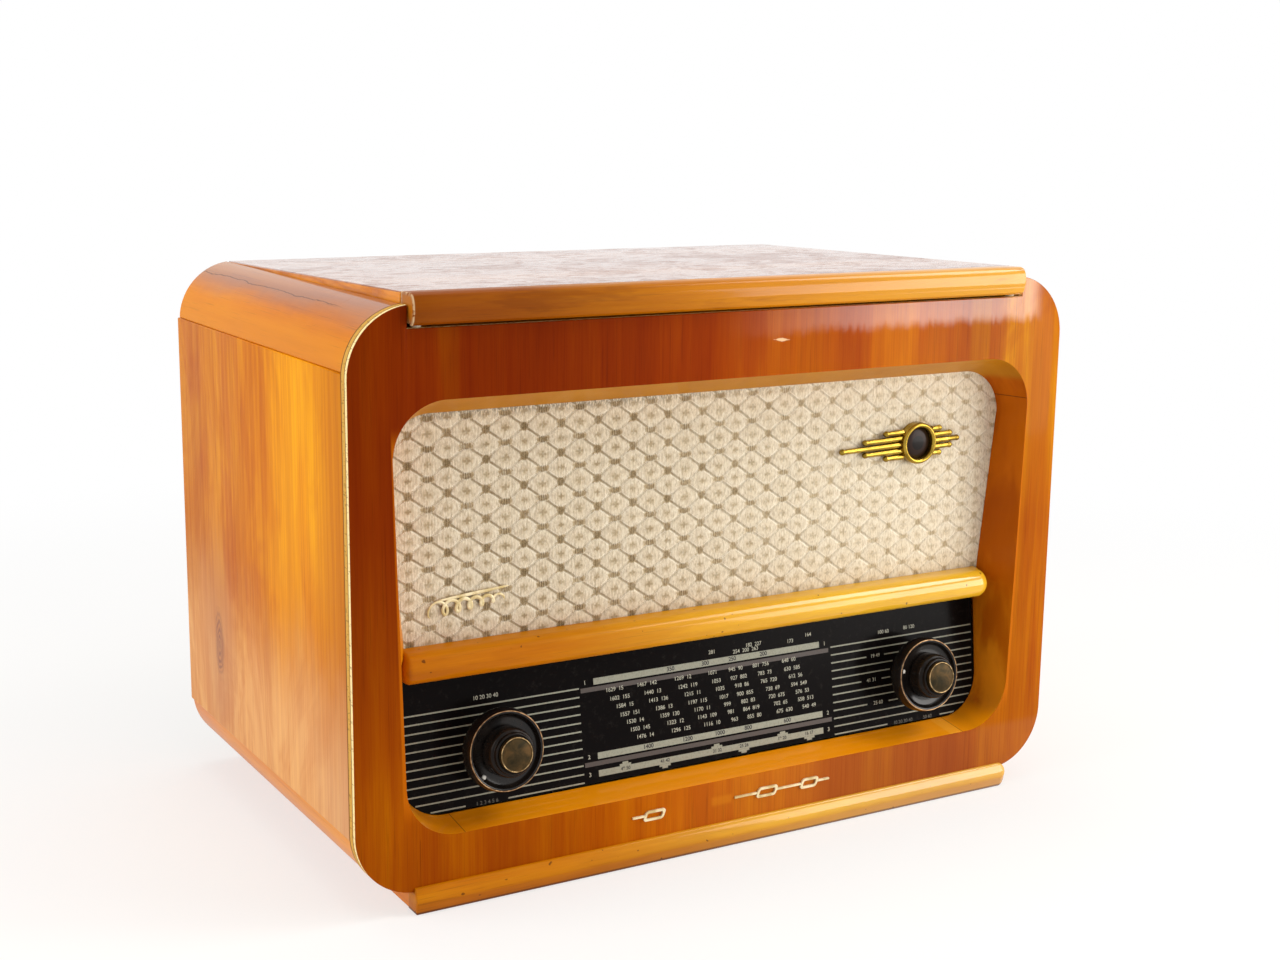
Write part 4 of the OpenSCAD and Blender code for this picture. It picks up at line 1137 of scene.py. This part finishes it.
RIM_LINE, CAP_EDGE = (corner_arc(r, h, w, 0, 330, 12) for r, h, w in ((22.95, 24.7, 0.34), (9.7, 37.35, 0.3)))
DOT, DOT_R = [(1.35, 21.9), (1.3, 22.9), (0.9, 23.3), (0, 23.4)], 19.6


def knob_pair(side, outer, inner, dot_angle):
    """One pair of knobs on the leaning glass. The flange and the boss stand for the model's two knobs."""
    def at_knob(u, v, w):
        return on_dial(side * KNOB_X + u, KNOB_V + v, w)

    for knob, part, profile, paint, wrap, smooth in (
            (outer, "flange", FLANGE, black_bakelite, "v", 45),
            (outer, "rim_line", RIM_LINE, copper, "uv", 35),
            (inner, "boss", BOSS, brown_bakelite, "v", 45),
            (inner, "cap", CAP, brass_cap, "v", 35),
            (inner, "cap_edge", CAP_EDGE, worn_edge, "uv", 35)):
        nodes = (f"{knob}_knob",) if part in ("flange", "boss") else ()
        shape = turned(profile, at_knob, 96)
        skin(f"{knob}_{part}", shape, paint, nodes, knob, wrap, smooth)
    u, v = DOT_R * math.cos(math.radians(dot_angle)), DOT_R * math.sin(math.radians(dot_angle))
    dot = turned(DOT, lambda a, b, w: at_knob(u + a, v + b, w), 20)
    skin(f"{outer}_dot", dot, chalk, body=outer)


knob_pair(-1, "tone", "volume", 222)
knob_pair(1, "band", "tuning", 166)
print("points in a knob's profiles", len(FLANGE), len(BOSS), len(CAP))

# %% [markdown]
# Under the lid is a record player, seen only when the lid is raised. The mat's ribs are one turned
# profile with a ripple, and the pickup arm is one tube whose section changes along its length: a soft
# rectangle at the pickup end, a circle behind it, and a wider circle for the weight.

# %% Record player
PLATTER_X, PLATTER_Y, MAT_R = -45, 160, 109
ARM_X, ARM_Z, CARTRIDGE_Z = 130, 314, 308.6
RIB_RATE, RIB_END_R = 0.72, 44


def speckled(name, dark, light, size, rough, metal=0, depth=0.0002, **constants):
    """A finish whose tone wanders between two colours, with a fine grain in its bump and roughness."""
    p = Paint(name)
    tone = p.noise(size, (1, 1, 1), 4, 0.62, 0.3)
    fine = p.noise(size * 6, (1, 1, 1), 2, 0.7)
    colour = p.ramp(tone * 0.75 + fine * 0.25, [(0.36, dark), (0.64, light)])
    height = fine * 0.6 + tone * 0.4
    return p.finish(colour, rough + tone * 0.14, p.bump(height, depth, 0.4), metal, **constants)


mat_rubber = speckled("mat_rubber_ribbed", (0.012, 0.012, 0.013), (0.035, 0.034, 0.033), 160, 0.55)
cream_plastic = speckled("arm_cream_plastic", (0.62, 0.54, 0.38), (0.8, 0.72, 0.54), 45, 0.25,
                         coat_weight=0.4)
r = np.linspace(MAT_R - 0.3, 5.4, 210)
ribs = 304.55 + 0.4 * np.abs(np.sin(r * RIB_RATE)) * (r < MAT_R - 2) * (r > RIB_END_R)
mat = [[(5.05, 303), (MAT_R - 0.05, 303), (MAT_R, 304.2)], np.stack([r, ribs], -1), [(5.05, 304.2)]]
mat = turned(np.concatenate(mat), lambda u, w, h: metres(PLATTER_X + u, PLATTER_Y + w, h), 72)
skin("platter_mat_ribbed", mat, mat_rubber, ("platter_mat",), "platter")

stations = np.array([  # place along the arm, half width, half height, squareness
    (41.2, 0.1, 0.1, 2), (41.2, 5, 3.2, 2.6), (42.6, 7.6, 4.6, 3.6), (60, 7.9, 4.9, 3.8), (72, 6.6, 4.7, 3),
    (84, 4.3, 4, 2), (100, 3.8, 3.8, 2), (262, 3.8, 3.8, 2), (264.2, 4.2, 4.2, 2), (264.4, 6.6, 6.6, 2),
    (265.4, 6.95, 6.95, 2), (275, 6.95, 6.95, 2), (275.9, 6.2, 6.2, 2), (275.9, 0.1, 0.1, 2)])
place, wide, high, square = np.split(stations, 4, axis=1)
around = np.radians(np.linspace(0, 360, 40, endpoint=False))
across, lift = (half * np.sign(wave) * np.abs(wave) ** (2 / square)
                for half, wave in ((wide, np.cos(around)), (high, np.sin(around))))
arm = metres(ARM_X + across, place, ARM_Z + lift)
cartridge = metres(ARM_X + across[1:5] * 0.45, place[1:5] * 0.35 + 31, CARTRIDGE_Z + lift[1:5] * 0.3)
needle = [(0, 306.1), (0.45, 306.8), (0.5, CARTRIDGE_Z), (0, 308.7)]
needle = turned(needle, lambda u, w, h: metres(ARM_X + u, 47 + w, h), 12)
arm_parts = [arm, cartridge, needle]
skin("pickup_arm", arm_parts, cream_plastic, ("tonearm",), "tonearm", smooth=40)
print("pickup arm", arm.shape, "mat ribs", int((MAT_R - RIB_END_R) * RIB_RATE / math.pi))

# %% [markdown]
# The rest of the model keeps its own shape and only needs finishes. Each finish is a recipe for one
# stuff of the set, and the table gives it to the nodes made of that stuff. Only the pale buffers under
# the lid are bevelled copies, because they can be seen from the front.

# %% Finishes for the model's own nodes
def hardboard_paint():
    p = Paint("hardboard_fibres")
    clump, fleck = p.noise(220, detail=5, rough=0.75), p.noise(1300, (1, 1, 0.5), 2, 0.8)
    tones = [(0.34, (0.085, 0.042, 0.02)), (0.52, (0.16, 0.085, 0.042)), (0.68, (0.25, 0.15, 0.08))]
    colour = p.mix(fleck.above(0.62, 0.05) * 0.5, p.ramp(clump, tones), (0.34, 0.23, 0.13))
    normal = p.bump(clump + fleck * 0.5, 0.0003, 0.5)
    return p.finish(colour, 0.62 + clump * 0.2, normal, specular_ior_level=0.3)


def aluminium_paint(name, dark, light):
    """Brushed metal: the fine lines are a noise drawn out along y."""
    p = Paint(name)
    lines, cloud = p.noise(1600, (1, 0.03, 1), 2, 0.6), p.noise(40, detail=4)
    colour = p.ramp(lines * 0.45 + cloud * 0.55, [(0.36, dark), (0.64, light)])
    return p.finish(colour, 0.26 + cloud * 0.2 + lines * 0.08, p.bump(lines, 0.0001, 0.3), metal=0.95)


def cone_paint():
    p = Paint("speaker_cone_felted")
    felt, fleck = p.noise(500, detail=5, rough=0.8), p.noise(1800, detail=2)
    colour = p.ramp(felt, [(0.35, (0.012, 0.011, 0.01)), (0.62, (0.05, 0.045, 0.038))])
    colour = p.mix(fleck.above(0.64, 0.04) * 0.4, colour, (0.12, 0.1, 0.08))
    return p.finish(colour, 0.85, p.bump(felt, 0.0004, 0.6))


def valve_paint():
    p = Paint("valve_glass_smoked")
    x, y, z = p.axes()
    film = p.noise(60, detail=3)
    colour = p.mix((z + film * 6).above(150, 6), (0.035, 0.033, 0.032), (0.42, 0.42, 0.44))
    return p.finish(colour, 0.06 + film * 0.08, metal=0.35, coat_weight=1, coat_roughness=0.03)


for names, paint in (
        ("bottom_board baffle_board", bare_wood),
        ("motor_board", deck_wood),
        ("rear_cover", hardboard_paint()),
        ("loudspeaker_cone", cone_paint()),
        ("valves", valve_paint()),
        ("platter", aluminium_paint("platter_spun_aluminium", (0.42, 0.42, 0.42), (0.7, 0.7, 0.69))),
        ("tuning_capacitor capacitor_rotor screened_cans",
         aluminium_paint("can_aluminium", (0.34, 0.34, 0.34), (0.62, 0.62, 0.61))),
        ("rear_cover_screws hinge_leaves_fixed hinge_leaves_lid lid_quadrant motor_pulley drive_drum",
         speckled("brass_fitting_aged", (0.36, 0.23, 0.07), (0.66, 0.47, 0.17), 120, 0.24, 0.95)),
        ("board_fittings arm_turret speed_lever turntable_spindle loudspeaker_frame volume_control "
         "band_switch",
         speckled("steel_grey_hammered", (0.1, 0.105, 0.11), (0.2, 0.205, 0.21), 90, 0.4, 0.5, 0.0004)),
        ("socket_panel valve_sockets",
         speckled("socket_strip_brown", (0.05, 0.022, 0.012), (0.1, 0.045, 0.024), 240, 0.42)),
        ("arm_base turntable_motor",
         speckled("arm_fitting_grey", (0.22, 0.22, 0.22), (0.4, 0.39, 0.37), 80, 0.3, 0.7)),
        ("idler_wheel", speckled("rubber_black", (0.01, 0.01, 0.01), (0.03, 0.03, 0.029), 130, 0.7)),
        ("chassis", speckled("tin_plate_dull", (0.3, 0.3, 0.29), (0.52, 0.51, 0.48), 55, 0.34, 0.85)),
        ("dial_backplate mains_transformer output_transformer",
         speckled("plate_black_japanned", (0.008, 0.008, 0.009), (0.025, 0.024, 0.024), 70, 0.35)),
        ("dial_lamps",
         speckled("lamp_glass_warm", (0.7, 0.55, 0.3), (0.9, 0.8, 0.55), 90, 0.12, coat_weight=0.8)),
        ("dial_pointer",
         speckled("needle_red_enamel", (0.45, 0.02, 0.012), (0.62, 0.05, 0.03), 200, 0.3, coat_weight=0.5))):
    for name in names.split():
        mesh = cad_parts[name].data
        mesh.materials.clear()
        mesh.materials.append(paint)
    print(paint.name, "on", names)
pale_rubber = speckled("rubber_white_aged", (0.66, 0.62, 0.52), (0.86, 0.84, 0.78), 150, 0.5, depth=0.0004)
rounded("lid_buffer_pads", "lid_buffers", pale_rubber, 1)

# %% [markdown]
# The set stands on a white sheet under soft studio light: a lamp to the right front and one high above
# it draw the pale reflections on the right of the lacquer, one stands to the left, and one overhead.
# The sheet and the world look white to the camera through the Light Path node, and cast plain light.

# %% Floor, world and lamps
def white_for_camera(p, plain, bright, share):
    """Mixes two shaders: camera, mirror and glass rays see the share of the bright one."""
    seen = p.node("ShaderNodeLightPath", out="Is Camera Ray")
    for name in ("Is Glossy Ray", "Is Transmission Ray"):
        seen = seen.bigger(p.node("ShaderNodeLightPath", out=name))
    return p.node("ShaderNodeMixShader", feeds={0: seen * share, 1: plain, 2: bright})


sheet = Paint("white_sheet")
x, y, z = sheet.axes()
matt = sheet.node("ShaderNodeBsdfDiffuse", feeds={"Color": (0.94, 0.93, 0.91, 1)})
glow = sheet.node("ShaderNodeEmission", feeds={"Color": (1, 1, 1, 1)})
whole = white_for_camera(sheet, matt, glow, reach(x, y - 150).above(700, 450) * 0.4 + 0.6)
sheet.node("ShaderNodeOutputMaterial", feeds={"Surface": whole}, out=None)
corners = metres([-6000, 6000, 6000, -6000], [-6000, -6000, 6000, 6000], -0.05)
sheet_mesh = bpy.data.meshes.new("white_sheet_floor")
sheet_mesh.from_pydata(corners.tolist(), [], [[0, 1, 2, 3]])
sheet_mesh.materials.append(sheet.material)
floor = bpy.data.objects.new("white_sheet_floor", sheet_mesh)
bpy.context.scene.collection.objects.link(floor)
floor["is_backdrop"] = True

bpy.context.scene.world = bpy.data.worlds.new("studio")
sky = Paint("studio", bpy.context.scene.world)
ambient = sky.node("ShaderNodeBackground", feeds={"Color": (1, 0.98, 0.95, 1), "Strength": 0.42})
backdrop = sky.node("ShaderNodeBackground", feeds={"Color": (1, 1, 1, 1), "Strength": 1})
sky.node("ShaderNodeOutputWorld", feeds={"Surface": white_for_camera(sky, ambient, backdrop, 1)}, out=None)

for name, spot, aim, size, power, colour in (
        ("softbox_right", (1150, -980, 430), (60, 40, 190), 0.9, 15, (1, 0.97, 0.93)),
        ("softbox_left", (-1500, 250, 900), (-100, 150, 190), 1, 13, (1, 0.97, 0.94)),
        ("softbox_high", (1000, -420, 1300), (80, 20, 200), 0.6, 9, (1, 0.98, 0.96)),
        ("softbox_overhead", (-100, 300, 1700), (0, 120, 200), 1.2, 8, (1, 0.98, 0.96))):
    light = bpy.data.lights.new(name, "AREA")
    light.size, light.energy, light.color = size, power, colour
    away = metres(*spot) - metres(*aim)
    away /= np.linalg.norm(away)
    side = np.cross([0, 0, 1], away)
    side /= np.linalg.norm(side)
    placed("lamp", name, light, side, np.cross(away, side), away, metres(*spot))
bpy.context.scene.view_settings.view_transform = "Standard"

# %% [markdown]
# Last, the size of the visual model's box is printed.

# %% Sizes and finish
low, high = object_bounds()
print("visual box", [round(b - a, 4) for a, b in zip(low, high)])
